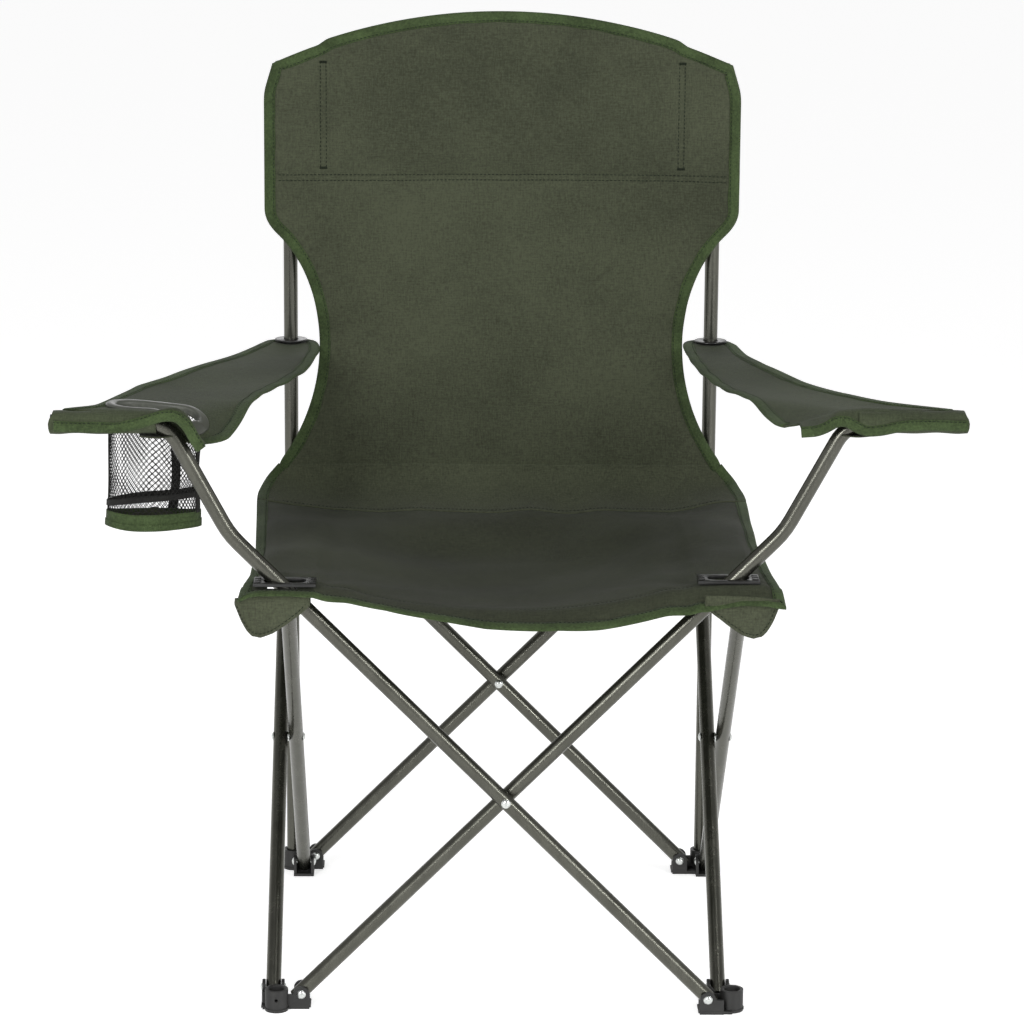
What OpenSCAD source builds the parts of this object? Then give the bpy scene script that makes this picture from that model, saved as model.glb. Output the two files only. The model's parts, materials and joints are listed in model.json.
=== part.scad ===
// Folding camp chair: four scissor crosses of round steel tube between four plastic feet,
// two upright posts that carry the back, sliders on the posts, and a sewn sling seat.
// Millimetres. +X is the sitter's left, -Y is the front, +Z is up, the feet rest on z = 0.

/* [Tubes] */
// Outer diameter of every frame tube
tube_d = 15; // [13:0.5:15]
// Wall thickness of the frame tubes
tube_wall = 1.2; // [0.8:0.1:1.5]
// Distance between the two end pivots of a cross tube
leg_len = 569; // [560:1:580]
// Lean of a cross tube from the vertical when the chair is open
leg_angle = 45; // [43:0.5:46]
// Tube left beyond the centre of an end pivot
tube_end = 8; // [7:0.5:8]
// Height of the top end of a back post
post_top = 875; // [850:5:885]

/* [Frame] */
// Distance from the middle of the chair to the plane of each cross
cross_plane = 221.5; // [220:0.5:223]
// Free space between the two tubes of a cross, filled by a washer
cross_gap = 1; // [1:0.5:2]
// Height of the bottom pivots over the floor
foot_pivot_z = 15; // [14:0.5:17]
// Distance from the middle of the chair to the middle of a post, along X and along Y
post_at = 225.5; // [225:0.5:226]

/* [Feet and brackets] */
// Height of the post socket of a foot
socket_h = 22; // [18:1:26]
// Outer diameter of the post socket
socket_d = 23; // [22:0.5:23]
// Thickness of the walls that hold the rivets
lug_wall = 3; // [2.5:0.25:3]
// Outer diameter of the slider ring on a post
slider_d = 24; // [23:0.5:24]
// Shank diameter of the rivets
rivet_d = 5; // [4:0.5:6]

/* [Arm tubes] */
// Distance from the top pivot to the first bend of an arm tube
arm_rise = 94.5; // [90:0.5:98]
// Lean of the middle stretch of an arm tube from the vertical
arm_lean = 28.4; // [26:0.2:31]
// Distance between the two bends
arm_reach = 124; // [118:1:128]
// Distance from the second bend to the end of the armrest stub
stub_len = 108; // [100:1:110]
// Centre line radius of the gentle first bend
bend_r_low = 90; // [70:5:110]
// Centre line radius of the sharp second bend
bend_r_top = 38; // [32:1:42]

/* [Seat and back] */
// Full width of the seat
seat_w = 524; // [500:2:530]
// Height of the underside of the seat at its corners
seat_z = 431; // [430:0.5:433]
// How far the middle of the seat hangs below its corners
seat_sag = 32; // [24:1:36]
// Front edge of the seat, measured from the middle of the chair
seat_front_y = 252; // [248:1:252]
// Rear edge of the seat, measured from the middle of the chair
seat_rear_y = 205; // [203:0.5:207]
// Thickness of the stretched cloth panels
cloth_t = 4; // [3:0.5:4]
// Height of the middle of the arched top of the back
back_top_z = 946; // [930:1:950]
// Half width of the back at the head
back_half_w = 251; // [248:1:253]
// Half width of the back at its waist
waist_half_w = 193; // [188:1:200]
// Height of the waist
waist_z = 587; // [580:1:595]

/* [Armrests] */
// Half the overall width, to the outer end of an armrest
arm_end_x = 438; // [436:1:445]
// Height of the top of an armrest at its front
arm_top_z = 606; // [606:0.5:608]
// Slope of an armrest down towards the post
arm_slope = 1.9; // [1.5:0.1:2]
// Width of the cup holder opening along X, outside of its ring
cup_w = 100; // [90:1:100]
// Depth of the cup holder opening along Y, outside of its ring
cup_d = 66; // [60:1:66]
// Height of the cup holder bag
cup_h = 100; // [86:1:104]

/* [Hidden] */

$fn = 64;
tube_r = tube_d / 2;
bore_r = tube_r - tube_wall;
slide_r = tube_r + 0.08;            // bore that a tube slides or plugs into
rivet_r = rivet_d / 2;
hole_r = rivet_r + 0.08;            // hole that a rivet turns in
offset_e = (tube_d + cross_gap) / 2; // from a cross plane to each of its tubes
inner = cross_plane - offset_e;     // plane of the inner tube of a cross
outer = cross_plane + offset_e;     // plane of the outer tube of a cross
pivot_at = leg_len * sin(leg_angle) / 2;
cross_z = foot_pivot_z + leg_len * cos(leg_angle) / 2;
top_z = foot_pivot_z + leg_len * cos(leg_angle);
lug_in = tube_r + 0.5;              // from a tube's plane to the inside of a lug wall
lug_r = 8;
base_z = 3.4;
flare = 1.4;                        // the foot's plan narrows by this towards the floor
socket_chamfer = 1.1;
screw_z = 13;                       // height of the screw through a post socket
screw_hole_r = 1.7;
screw_head_r = 3.1;
slider_h = 24;
hub_half = 11;
head_h = 2.2;
head_r = 4.6;
hub_plate = lug_wall + 1;           // the brackets have one thicker wall per tube
corner_reach = pivot_at + lug_in - outer; // from a top pivot to the other wall of its bracket
web_from = slide_r + 1 - post_at;   // a slider's web starts inside the wall of its ring
seat_flat_x = 186;                  // the seat hangs in an arc between these lines
seat_split_y = 75;                  // crosswise fold line of the seat
seat_hole = [48, 22, 12];           // cut through the seat under a slotted plate
grommet_x = 214.5;
seat_arc_r = (seat_flat_x * seat_flat_x + seat_sag * seat_sag) / (2 * seat_sag);
seat_arc_z = seat_z + cloth_t - seat_sag + seat_arc_r;
split_gap = 0.6;                    // free slit between two bodies of cloth
back_y = 209;                       // front face of the back panel
back_side_x = 212;                  // the panel ends here and the post sleeves begin
waist_r = 200;
arch_rise = 51;                     // from the shoulders to the top of the arch
arch_half = 240;
arch_r = (arch_half * arch_half + arch_rise * arch_rise) / (2 * arch_rise);
sleeve_z = 650;                     // lower end of the post sleeves
sleeve_r = tube_r + 3.2;
head_pad_z = 782;
stub_z = top_z + arm_rise * cos(leg_angle) + arm_reach * cos(arm_lean);
ring_r = 17.5;
ring_z = 589;
arm_sleeve_r = arm_top_z - stub_z;  // the front sleeve is as high as the armrest's top
cup_x = 339;
cup_y = -178;
cup_wall = 1.6;

// ---- shared shapes ----

module at_left() mirror([1, 0, 0]) children();

// A bend of a round bar that starts at the origin along +Z and turns towards -X
module elbow(angle, radius, r) {
    translate([-radius, 0, 0])
        rotate([90, 0, 0])
            rotate_extrude(angle = angle)
                translate([radius, 0]) circle(r = r);
}

// Places its children where such a bend ends
module past_elbow(angle, radius) {
    translate([radius * (cos(angle) - 1), 0, radius * sin(angle)])
        rotate([0, -angle, 0]) children();
}

// The drilled holes of a cross tube, square to its plane
module leg_holes() {
    for (z = [0, leg_len / 2, leg_len])
        translate([0, 0, z]) rotate([90, 0, 0])
            cylinder(r = hole_r, h = tube_d + 2, center = true);
}

// A cross tube in the XZ plane: its bottom pivot is the origin and it leans towards -X
module leg() {
    length = leg_len + 2 * tube_end;
    rotate([0, -leg_angle, 0]) difference() {
        translate([0, 0, -tube_end]) cylinder(r = tube_r, h = length);
        translate([0, 0, -tube_end - 1]) cylinder(r = bore_r, h = length + 2);
        leg_holes();
    }
}

// A rivet along Z with a domed head past each end of the grip
module rivet(grip) {
    cylinder(r = rivet_r, h = grip + 0.2, center = true);
    for (side = [0, 180])
        rotate([side, 0, 0]) translate([0, 0, grip / 2 + 0.05]) rivet_head();
}

module rivet_head() {
    dome_r = (head_r * head_r + head_h * head_h) / (2 * head_h);
    intersection() {
        translate([0, 0, head_h - dome_r]) sphere(r = dome_r);
        cylinder(r = head_r, h = head_h);
    }
}

// A flat wall square to Y with a round end, drilled at the origin, down to z = -drop
module lug(drop, thick) {
    difference() {
        union() {
            rotate([90, 0, 0]) cylinder(r = lug_r, h = thick, center = true);
            translate([-lug_r, -thick / 2, -drop]) cube([2 * lug_r, thick, drop]);
        }
        rotate([90, 0, 0]) cylinder(r = hole_r, h = thick + 2, center = true);
    }
}

// ---- feet: the front left one, the others are turned by quarter turns ----

module foot() {
    color("#2a2b2a") difference() {
        union() {
            foot_base();
            translate([-post_at, -post_at, 0]) cylinder(d = socket_d, h = socket_h);
            foot_lugs();
        }
        translate([-post_at, -post_at, base_z]) cylinder(r = slide_r, h = socket_h);
        translate([-post_at, -post_at, socket_h - socket_chamfer + 0.1])
            cylinder(r1 = slide_r, r2 = slide_r + socket_chamfer, h = socket_chamfer);
        translate([-post_at, -post_at, screw_z]) rotate([90, 0, 0])
            cylinder(r = screw_hole_r, h = socket_d);
    }
}

module foot_base() {
    for (layer = [0, 1]) {
        grow = layer * flare;
        z = layer * base_z / 2;
        translate([0, 0, z]) linear_extrude(base_z / 2) foot_outline(grow);
    }
}

// Plan of the foot: a disc under the socket and a strip under each pair of lugs
module foot_outline(grow) {
    half = lug_in + lug_wall;
    edge = pivot_at - lug_r - grow;
    translate([-post_at, -post_at]) circle(d = socket_d + 2 * grow - 1);
    translate([-post_at, -inner - half]) square([post_at - edge, 2 * half]);
    translate([-outer - half - grow + 1, -post_at]) square([2 * half + grow - 1, post_at - edge]);
}

module foot_lugs() {
    for (side = [-1, 1]) {
        translate([-pivot_at, -inner + side * (lug_in + lug_wall / 2), foot_pivot_z])
            lug(foot_pivot_z, lug_wall);
        translate([-outer + side * (lug_in + lug_wall / 2), -pivot_at, foot_pivot_z])
            rotate([0, 0, 90]) lug(foot_pivot_z, lug_wall);
    }
    // webs from the socket to the lugs
    web_y = -inner - lug_in - lug_wall;
    translate([-post_at + slide_r + 1, web_y, 0]) cube([10, lug_wall, foot_pivot_z]);
    for (x = [-outer - lug_in - lug_wall, -outer + lug_in])
        translate([x, -post_at + slide_r + 1, 0]) cube([lug_wall, 10, foot_pivot_z]);
}

module foot_rivets() {
    grip = 2 * (lug_in + lug_wall);
    color("#c9ccca") {
        translate([-pivot_at, -inner, foot_pivot_z]) rotate([90, 0, 0]) rivet(grip);
        translate([-outer, -pivot_at, foot_pivot_z]) rotate([0, 90, 0]) rivet(grip);
    }
}

module foot_front_left() foot();
module foot_front_right() rotate([0, 0, 90]) foot();
module foot_rear_right() rotate([0, 0, 180]) foot();
module foot_rear_left() rotate([0, 0, 270]) foot();
module foot_rivets_front_left() foot_rivets();
module foot_rivets_front_right() rotate([0, 0, 90]) foot_rivets();
module foot_rivets_rear_right() rotate([0, 0, 180]) foot_rivets();
module foot_rivets_rear_left() rotate([0, 0, 270]) foot_rivets();

// ---- back posts, their caps and the screws through the sockets ----

module post() {
    color("#6b6861") translate([post_at, post_at, 0]) difference() {
        translate([0, 0, base_z + 0.1]) cylinder(r = tube_r, h = post_top - base_z - 0.1);
        cylinder(r = bore_r, h = post_top + 1);
        for (turn = [0, 90])
            translate([0, 0, screw_z]) rotate([90, 0, turn])
                cylinder(r = screw_hole_r, h = 2 * tube_d, center = true);
    }
}

module post_cap() {
    color("#202020") translate([post_at, post_at, post_top]) {
        translate([0, 0, -12]) cylinder(r = bore_r - 0.05, h = 12.05);
        cylinder(r = tube_r, h = 2);
        translate([0, 0, 1.9]) cylinder(r1 = tube_r, r2 = tube_r - 2, h = 1.6);
    }
}

// A self-tapping screw: shank through the socket wall, low round head outside
module post_screw() {
    reach = socket_d / 2;
    tip = 3.5;
    rotate([90, 0, 0]) {
        translate([0, 0, tip]) cylinder(r = screw_hole_r - 0.1, h = reach - tip + 0.1);
        translate([0, 0, reach + 0.03]) cylinder(r1 = screw_head_r, r2 = 2, h = 1.5);
    }
}

module post_right() post();
module post_left() at_left() post();
module post_cap_right() post_cap();
module post_cap_left() at_left() post_cap();
module post_screw_right()
    color("#c9ccca") translate([post_at, post_at, screw_z]) rotate([0, 0, 180]) post_screw();
module post_screw_left()
    color("#c9ccca") translate([-post_at, post_at, screw_z]) rotate([0, 0, 270]) post_screw();

// ---- cross tubes ----

// The inner tube of the front plane, turned to the plane that its name says
module inner_leg() color("#6b6861") translate([pivot_at, -inner, foot_pivot_z]) mirrored_leg();
module outer_leg() color("#6b6861") translate([pivot_at, -outer, foot_pivot_z]) leg();
module mirrored_leg() translate([-2 * pivot_at, 0, 0]) mirror([1, 0, 0]) leg();

module rear_tube_outer() rotate([0, 0, 180]) outer_leg();
module rear_tube_inner() rotate([0, 0, 180]) inner_leg();
module left_tube_outer() rotate([0, 0, 270]) outer_leg();
module left_tube_inner() rotate([0, 0, 270]) inner_leg();
module right_tube_outer() rotate([0, 0, 90]) outer_leg();
module right_tube_inner() rotate([0, 0, 90]) inner_leg();

// The run of an arm tube as a solid bar of radius r, from its bottom end to past the stub
module arm_run(r, more) {
    turn = leg_angle - arm_lean;
    swing = 90 - arm_lean;
    low_tan = bend_r_low * tan(turn / 2);
    top_tan = bend_r_top * tan(swing / 2);
    straight = leg_len + arm_rise - low_tan;
    middle = arm_reach - low_tan - top_tan;
    lap = 0.02;
    translate([0, 0, -tube_end - more]) cylinder(r = r, h = straight + tube_end + more + lap);
    translate([0, 0, straight]) rotate([0, 0, 180]) {
        elbow(turn, bend_r_low, r);
        past_elbow(turn, bend_r_low) rotate([0, 0, 180]) {
            translate([0, 0, -lap]) cylinder(r = r, h = middle + 2 * lap);
            translate([0, 0, middle]) {
                elbow(swing, bend_r_top, r);
                past_elbow(swing, bend_r_top) translate([0, 0, -lap])
                    cylinder(r = r, h = stub_len - top_tan + lap + more);
            }
        }
    }
}

// An arm tube starts at its bottom pivot at the origin, leans towards -X and ends in the stub
module arm_tube() {
    color("#6b6861") rotate([0, -leg_angle, 0]) difference() {
        arm_run(tube_r, 0);
        arm_run(bore_r, 1);
        leg_holes();
    }
}

module arm_tube_left() translate([pivot_at, -outer, foot_pivot_z]) arm_tube();
module arm_tube_right()
    translate([-pivot_at, -inner, foot_pivot_z]) rotate([0, 0, 180]) arm_tube();

bend_two_x = pivot_at + arm_rise * sin(leg_angle) + arm_reach * sin(arm_lean);
stub_end_x = bend_two_x + stub_len;

module stub_cap() {
    color("#202020") translate([stub_end_x, 0, stub_z]) rotate([0, 90, 0]) {
        translate([0, 0, -14]) cylinder(r = bore_r - 0.05, h = 14.05);
        cylinder(r = tube_r, h = 2);
    }
}

module stub_cap_left() at_left() translate([0, -outer, 0]) stub_cap();
module stub_cap_right() translate([0, -inner, 0]) stub_cap();

// ---- the four crossings: a rivet through both tubes and the washer between them ----

module cross_pivot() {
    color("#c9ccca") translate([0, -cross_plane, cross_z]) rotate([90, 0, 0]) {
        rivet(2 * tube_d + cross_gap);
        difference() {
            cylinder(r = 5, h = cross_gap - 0.1, center = true);
            cylinder(r = hole_r, h = cross_gap, center = true);
        }
    }
}

module cross_pivot_front() cross_pivot();
module cross_pivot_right() rotate([0, 0, 90]) cross_pivot();
module cross_pivot_rear() rotate([0, 0, 180]) cross_pivot();
module cross_pivot_left() rotate([0, 0, 270]) cross_pivot();

// ---- sliders and front brackets ----

// One wall of a bracket, square to Y, drilled at the origin
module bracket_wall(from_x, to_x, thick) {
    difference() {
        translate([from_x, -thick / 2, -hub_half])
            cube([to_x - from_x, thick, 2 * hub_half]);
        rotate([90, 0, 0]) cylinder(r = hole_r, h = thick + 2, center = true);
    }
}

// Room for the shank and the inner head of a rivet along Y, through a wall round the origin
module rivet_room(wall) {
    rotate([90, 0, 0]) cylinder(r = hole_r, h = wall + 2, center = true);
    translate([0, wall / 2, 0]) rotate([-90, 0, 0])
        cylinder(r = head_r + 0.4, h = head_h + 0.6);
}

// Bracket of a front left corner that holds an outer front tube and an inner left tube
module bracket_a() {
    front_wall = [-pivot_at, -outer + lug_in + hub_plate / 2, top_z];
    difference() {
        union() {
            translate(front_wall) bracket_wall(-hub_half, hub_half, hub_plate);
            translate([-inner + lug_in + hub_plate / 2, -pivot_at, top_z]) rotate([0, 0, 90])
                bracket_wall(corner_reach, hub_half, hub_plate);
        }
        translate(front_wall) rivet_room(hub_plate);
    }
}

// Bracket of a front left corner that holds an inner front tube and an outer left tube
module bracket_b() {
    wall_y = -inner + lug_in + hub_plate / 2;
    translate([-pivot_at, wall_y, top_z]) bracket_wall(corner_reach, hub_half, hub_plate);
    translate([-outer + lug_in + lug_wall / 2, -pivot_at, top_z]) rotate([0, 0, 90])
        bracket_wall(wall_y + pivot_at - hub_plate / 2, hub_half, lug_wall);
}

module bracket_b_room()
    translate([-outer + lug_in + lug_wall / 2, -pivot_at, top_z]) rotate([0, 0, -90])
        rivet_room(lug_wall);

module bracket_rivets(front_plane, left_plane, left_wall) {
    front_grip = tube_d + 0.5 + hub_plate;
    left_grip = tube_d + 0.5 + left_wall;
    color("#c9ccca") {
        translate([-pivot_at, -front_plane - tube_r + front_grip / 2, top_z])
            rotate([90, 0, 0]) rivet(front_grip);
        translate([-left_plane - tube_r + left_grip / 2, -pivot_at, top_z])
            rotate([0, 90, 0]) rivet(left_grip);
    }
}

// Ring that slides on a post, with the bracket that the cross tubes hang on
module slider_ring() {
    difference() {
        union() {
            translate([-post_at, -post_at, top_z - slider_h / 2])
                cylinder(d = slider_d, h = slider_h);
            children();
        }
        translate([-post_at, -post_at, 0]) cylinder(r = slide_r, h = 2 * top_z);
    }
}

module slider_right() {
    web = 1 - pivot_at - hub_half - web_from;
    color("#2a2b2a") rotate([0, 0, 180]) slider_ring() {
        bracket_a();
        translate([web_from, -outer + lug_in, top_z - hub_half])
            cube([web, hub_plate, 2 * hub_half]);
    }
}

module slider_left() {
    web = lug_in + 1 - inner - web_from;
    color("#2a2b2a") mirror([0, 1, 0]) difference() {
        slider_ring() {
            bracket_b();
            translate([-outer + lug_in, web_from, top_z - hub_half])
                cube([lug_wall + 3.5, web, 2 * hub_half]);
        }
        bracket_b_room();
    }
}

module hub_left() color("#2a2b2a") bracket_a();
module hub_right() color("#2a2b2a") at_left() difference() {
    bracket_b();
    bracket_b_room();
}

module slider_rivets_right() rotate([0, 0, 180]) bracket_rivets(outer, inner, hub_plate);
module slider_rivets_left() mirror([0, 1, 0]) bracket_rivets(inner, outer, lug_wall);
module hub_rivets_left() bracket_rivets(outer, inner, hub_plate);
module hub_rivets_right() at_left() bracket_rivets(inner, outer, lug_wall);

// ---- back: a panel between the posts and a sleeve round each post ----

module back_outline() {
    difference() {
        intersection() {
            union() {
                translate([-back_half_w, waist_z]) square([2 * back_half_w, back_top_z - waist_z]);
                translate([-seat_w / 2, seat_z + cloth_t + split_gap])
                    square([seat_w, waist_z - seat_z]);
            }
            translate([0, back_top_z - arch_r]) circle(r = arch_r, $fn = 200);
        }
        for (side = [-1, 1])
            translate([side * (waist_half_w + waist_r), waist_z]) circle(r = waist_r, $fn = 160);
    }
}

// The lower middle of the panel follows the hanging seat
module back_panel() {
    color("#3a4236") translate([0, back_y + cloth_t, 0]) rotate([90, 0, 0])
        linear_extrude(cloth_t) difference() {
            union() {
                back_outline();
                seat_section_fill();
            }
            for (side = [-1, 1])
                translate([side * (back_side_x + 100), sleeve_z + 200 - split_gap])
                    square([200, 400], center = true);
        }
}

module seat_section_fill() {
    difference() {
        translate([-seat_flat_x, seat_z - seat_sag]) square([2 * seat_flat_x, 2 * seat_sag]);
        translate([0, seat_arc_z - seat_sag]) difference() {
            translate([-seat_w, -seat_arc_r * 2]) square([2 * seat_w, 2 * seat_arc_r + seat_sag]);
            translate([0, seat_sag]) circle(r = seat_arc_r - split_gap, $fn = 200);
        }
    }
}

// Foam of the head rest, behind the face cloth
module head_pad() {
    inset = 14;
    top = back_top_z - inset;
    color("#3a4236") translate([0, back_y + cloth_t + split_gap + 6, 0]) rotate([90, 0, 0])
        linear_extrude(6) intersection() {
            translate([-back_side_x + inset, head_pad_z]) square([2 * (back_side_x - inset), 200]);
            translate([0, top - arch_r]) circle(r = arch_r, $fn = 200);
        }
}

module back_sleeve() {
    bore_top = post_top + 5;
    wrap_z = sleeve_z + 22;
    wrap_h = 216;
    color("#3a4236") difference() {
        union() {
            translate([0, back_y + cloth_t, 0]) rotate([90, 0, 0]) linear_extrude(cloth_t)
                intersection() {
                    back_outline();
                    translate([back_side_x + split_gap, sleeve_z]) square([100, 400]);
                }
            translate([post_at, post_at, wrap_z]) cylinder(r = sleeve_r, h = wrap_h);
            translate([post_at - 8, back_y + 1, wrap_z]) cube([16, 10, wrap_h]);
        }
        translate([post_at, post_at, 0]) cylinder(r = tube_r + 0.4, h = bore_top);
    }
}

module back_sleeve_right() back_sleeve();
module back_sleeve_left() at_left() back_sleeve();

// ---- seat ----

// Crosswise section: flat over the corners, hanging in an arc between them
module seat_section() {
    intersection() {
        translate([0, seat_arc_z]) difference() {
            circle(r = seat_arc_r + cloth_t, $fn = 200);
            circle(r = seat_arc_r, $fn = 200);
        }
        translate([-seat_flat_x, seat_z - 2 * seat_sag])
            square([2 * seat_flat_x, 2 * seat_sag + cloth_t]);
    }
    for (side = [-1, 1])
        translate([side * (seat_w / 4 + seat_flat_x / 2), seat_z + cloth_t / 2])
            square([seat_w / 2 - seat_flat_x, cloth_t], center = true);
}

module seat_strip(from_y, to_y) {
    color("#333a30") translate([0, to_y, 0]) rotate([90, 0, 0])
        linear_extrude(to_y - from_y) seat_section();
}

module seat_front() {
    difference() {
        seat_strip(-seat_front_y, seat_split_y - split_gap);
        translate([-grommet_x, -outer, seat_z]) cube(seat_hole, center = true);
        translate([grommet_x, -inner, seat_z]) cube(seat_hole, center = true);
    }
}

module seat_rear() seat_strip(seat_split_y, seat_rear_y);

// Corner pocket that hangs in front of the bracket
module seat_pocket() {
    points = [[186, seat_z - 0.5], [186, 413], [210, 392], [238, 384], [256, 396], [260, seat_z - 0.5]];
    color("#333a30") translate([0, -seat_front_y + 6, 0]) rotate([90, 0, 0])
        linear_extrude(3) polygon(points);
}

module seat_pocket_right() seat_pocket();
module seat_pocket_left() at_left() seat_pocket();

// Slotted plate on the seat corner that the arm tube passes through
module grommet(plane) {
    slot_half = 20.5;
    slot_r = tube_r + 0.9;
    plate = [60, 30, 3];
    color("#232423") translate([grommet_x, -plane, seat_z + cloth_t + 0.3]) difference() {
        union() {
            translate([-plate[0] / 2, -plate[1] / 2, 0]) cube(plate);
            for (side = [-1, 1])
                for (row = [0:2])
                    translate([side * (slot_half + 5.5) - 3, -plate[1] / 2 + 6 + row * 7.5, 0])
                        cube([6, 3, plate[2] + 1]);
        }
        translate([0, 0, -1]) {
            for (side = [-1, 1])
                translate([side * (slot_half - slot_r), 0, 0]) cylinder(r = slot_r, h = 10);
            translate([-slot_half + slot_r, -slot_r, 0])
                cube([2 * (slot_half - slot_r), 2 * slot_r, 10]);
        }
    }
}

module grommet_left() at_left() grommet(outer);
module grommet_right() grommet(inner);

// ---- armrests ----

// Front edge of an armrest's panel, just behind the sleeve on the stub in this plane
function arm_front(plane) = arm_sleeve_r + split_gap - plane;

// Inner front corner of an armrest; the one with the cup holder has its stub in the outer plane
function arm_inner(plane) = plane > cross_plane ? 300 : 262;

// Plan of the plain armrest, from the front sleeve to the round end behind the post
module arm_outline_plain(front_y) {
    polygon([[arm_end_x, front_y], [436, front_y + 6], [369, -150], [353, -125], [332, -85],
             [303, -15], [286, 40], [272, 85], [259, 155], [252, 215], [247, 236], [236, 248],
             [224, 252], [210, 248], [200, 238], [196, 215], [199, 130], [206, 68],
             [221, -37], [245, -130], [arm_inner(inner), front_y]]);
}

// Plan of the armrest with the cup holder, drawn as a right one; it is wider
module arm_outline_cup(front_y) {
    polygon([[arm_end_x, front_y], [437, front_y + 8], [397, -188], [391, -145], [368, -53],
             [343, -5], [310, 85], [283, 152], [257, 218], [252, 236], [240, 247],
             [226, 252], [210, 248], [200, 234], [195, 205], [195, 180], [201, 99],
             [212, 50], [225, 0], [238, -51], [258, -140], [272, -190], [arm_inner(outer), front_y]]);
}

// Children drawn flat at z = 0 are laid on the slope of the armrest's top
module on_arm(front_y) {
    translate([0, front_y, arm_top_z]) rotate([-arm_slope, 0, 0])
        translate([0, -front_y, 0]) children();
}

module stadium(width, depth) {
    for (side = [-1, 1])
        translate([side * (width - depth) / 2, 0]) circle(d = depth);
    square([width - depth, depth], center = true);
}

module arm_pad_blank(front_y) {
    on_arm(front_y) translate([0, 0, -cloth_t]) linear_extrude(cloth_t) difference() {
        children();
        translate([post_at, post_at]) circle(r = 12.6);
    }
}

module arm_pad_right()
    color("#3a4236") arm_pad_blank(arm_front(inner)) arm_outline_plain(arm_front(inner));

module arm_pad_left() {
    color("#3a4236") at_left() difference() {
        arm_pad_blank(arm_front(outer)) arm_outline_cup(arm_front(outer));
        translate([cup_x, cup_y, arm_top_z - 40]) linear_extrude(80)
            stadium(cup_w - 18, cup_d - 18);
    }
}

// The sewn sleeve that the stub plugs into, and the flap over the top bend. The flap stays on
// its own side of the cross plane, so that the arms pass each other when the chair folds.
module arm_sleeve(plane) {
    inner_end = bend_two_x + 24;
    bore_end = stub_end_x + 2.4;
    flap_t = 2.5;
    clear = 0.4;
    middle = plane - cross_plane;
    flap_from = middle > 0 ? -arm_sleeve_r : middle + clear;
    flap_to = middle > 0 ? middle - clear : arm_sleeve_r;
    color("#3a4236") translate([0, -plane, 0]) difference() {
        union() {
            translate([inner_end, 0, stub_z]) rotate([0, 90, 0])
                cylinder(r = arm_sleeve_r, h = arm_end_x - inner_end);
            translate([arm_inner(plane), flap_from, arm_top_z - flap_t])
                cube([inner_end - arm_inner(plane) + 10, flap_to - flap_from, flap_t]);
        }
        translate([inner_end - 20, 0, stub_z]) rotate([0, 90, 0])
            cylinder(r = tube_r + 0.4, h = bore_end - inner_end + 20);
    }
}

module arm_sleeve_left() at_left() arm_sleeve(outer);
module arm_sleeve_right() arm_sleeve(inner);

// Two-flanged plastic ring that runs on the post and holds the end of the armrest
module arm_ring() {
    hub_h = 8;
    color("#202020") translate([post_at, post_at, ring_z]) difference() {
        union() {
            cylinder(r = 12, h = hub_h, center = true);
            for (side = [-1, 1])
                translate([0, 0, side * (hub_h / 2 + 0.9)]) cylinder(r = ring_r, h = 2, center = true);
        }
        cylinder(r = slide_r, h = hub_h + 10, center = true);
    }
}

module arm_ring_right() arm_ring();
module arm_ring_left() at_left() arm_ring();

// ---- cup holder in the left armrest ----

module cup_ring() {
    color("#8a8c88") at_left() on_arm(arm_front(outer)) translate([cup_x, cup_y, 0.3])
        linear_extrude(2.4) difference() {
            stadium(cup_w, cup_d);
            stadium(cup_w - 20, cup_d - 20);
        }
}

module cup_shell(low, high, width, depth) {
    translate([cup_x, cup_y, low]) linear_extrude(high - low) difference() {
        stadium(width, depth);
        stadium(width - 2 * cup_wall, depth - 2 * cup_wall);
    }
}

cup_top = arm_top_z - 8;
cup_floor = cup_top - cup_h;
cup_band = cup_floor + 14;

module cup_bag() {
    color("#1c1c1b") at_left() cup_shell(cup_band + 0.3, cup_top, cup_w - 14, cup_d - 12);
}

module cup_base() {
    color("#33502d") at_left() {
        cup_shell(cup_floor, cup_band, cup_w - 14, cup_d - 12);
        translate([cup_x, cup_y, cup_floor]) linear_extrude(2) stadium(cup_w - 14, cup_d - 12);
    }
}

foot_front_left();
foot_front_right();
foot_rear_left();
foot_rear_right();
foot_rivets_front_left();
foot_rivets_front_right();
foot_rivets_rear_left();
foot_rivets_rear_right();
post_left();
post_right();
post_cap_left();
post_cap_right();
post_screw_left();
post_screw_right();
rear_tube_outer();
rear_tube_inner();
left_tube_outer();
left_tube_inner();
right_tube_outer();
right_tube_inner();
arm_tube_left();
arm_tube_right();
cross_pivot_front();
cross_pivot_rear();
cross_pivot_left();
cross_pivot_right();
slider_left();
slider_right();
hub_left();
hub_right();
slider_rivets_left();
slider_rivets_right();
hub_rivets_left();
hub_rivets_right();
stub_cap_left();
stub_cap_right();
back_panel();
head_pad();
back_sleeve_left();
back_sleeve_right();
seat_front();
seat_rear();
seat_pocket_left();
seat_pocket_right();
grommet_left();
grommet_right();
arm_pad_left();
arm_pad_right();
arm_sleeve_left();
arm_sleeve_right();
arm_ring_left();
arm_ring_right();
cup_ring();
cup_bag();
cup_base();
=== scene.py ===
"""Folding camp chair: sewn cloth, bindings, stitches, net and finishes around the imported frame."""
import json
import math

import bmesh
import bpy
import numpy as np
from mathutils import Matrix, Vector

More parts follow.
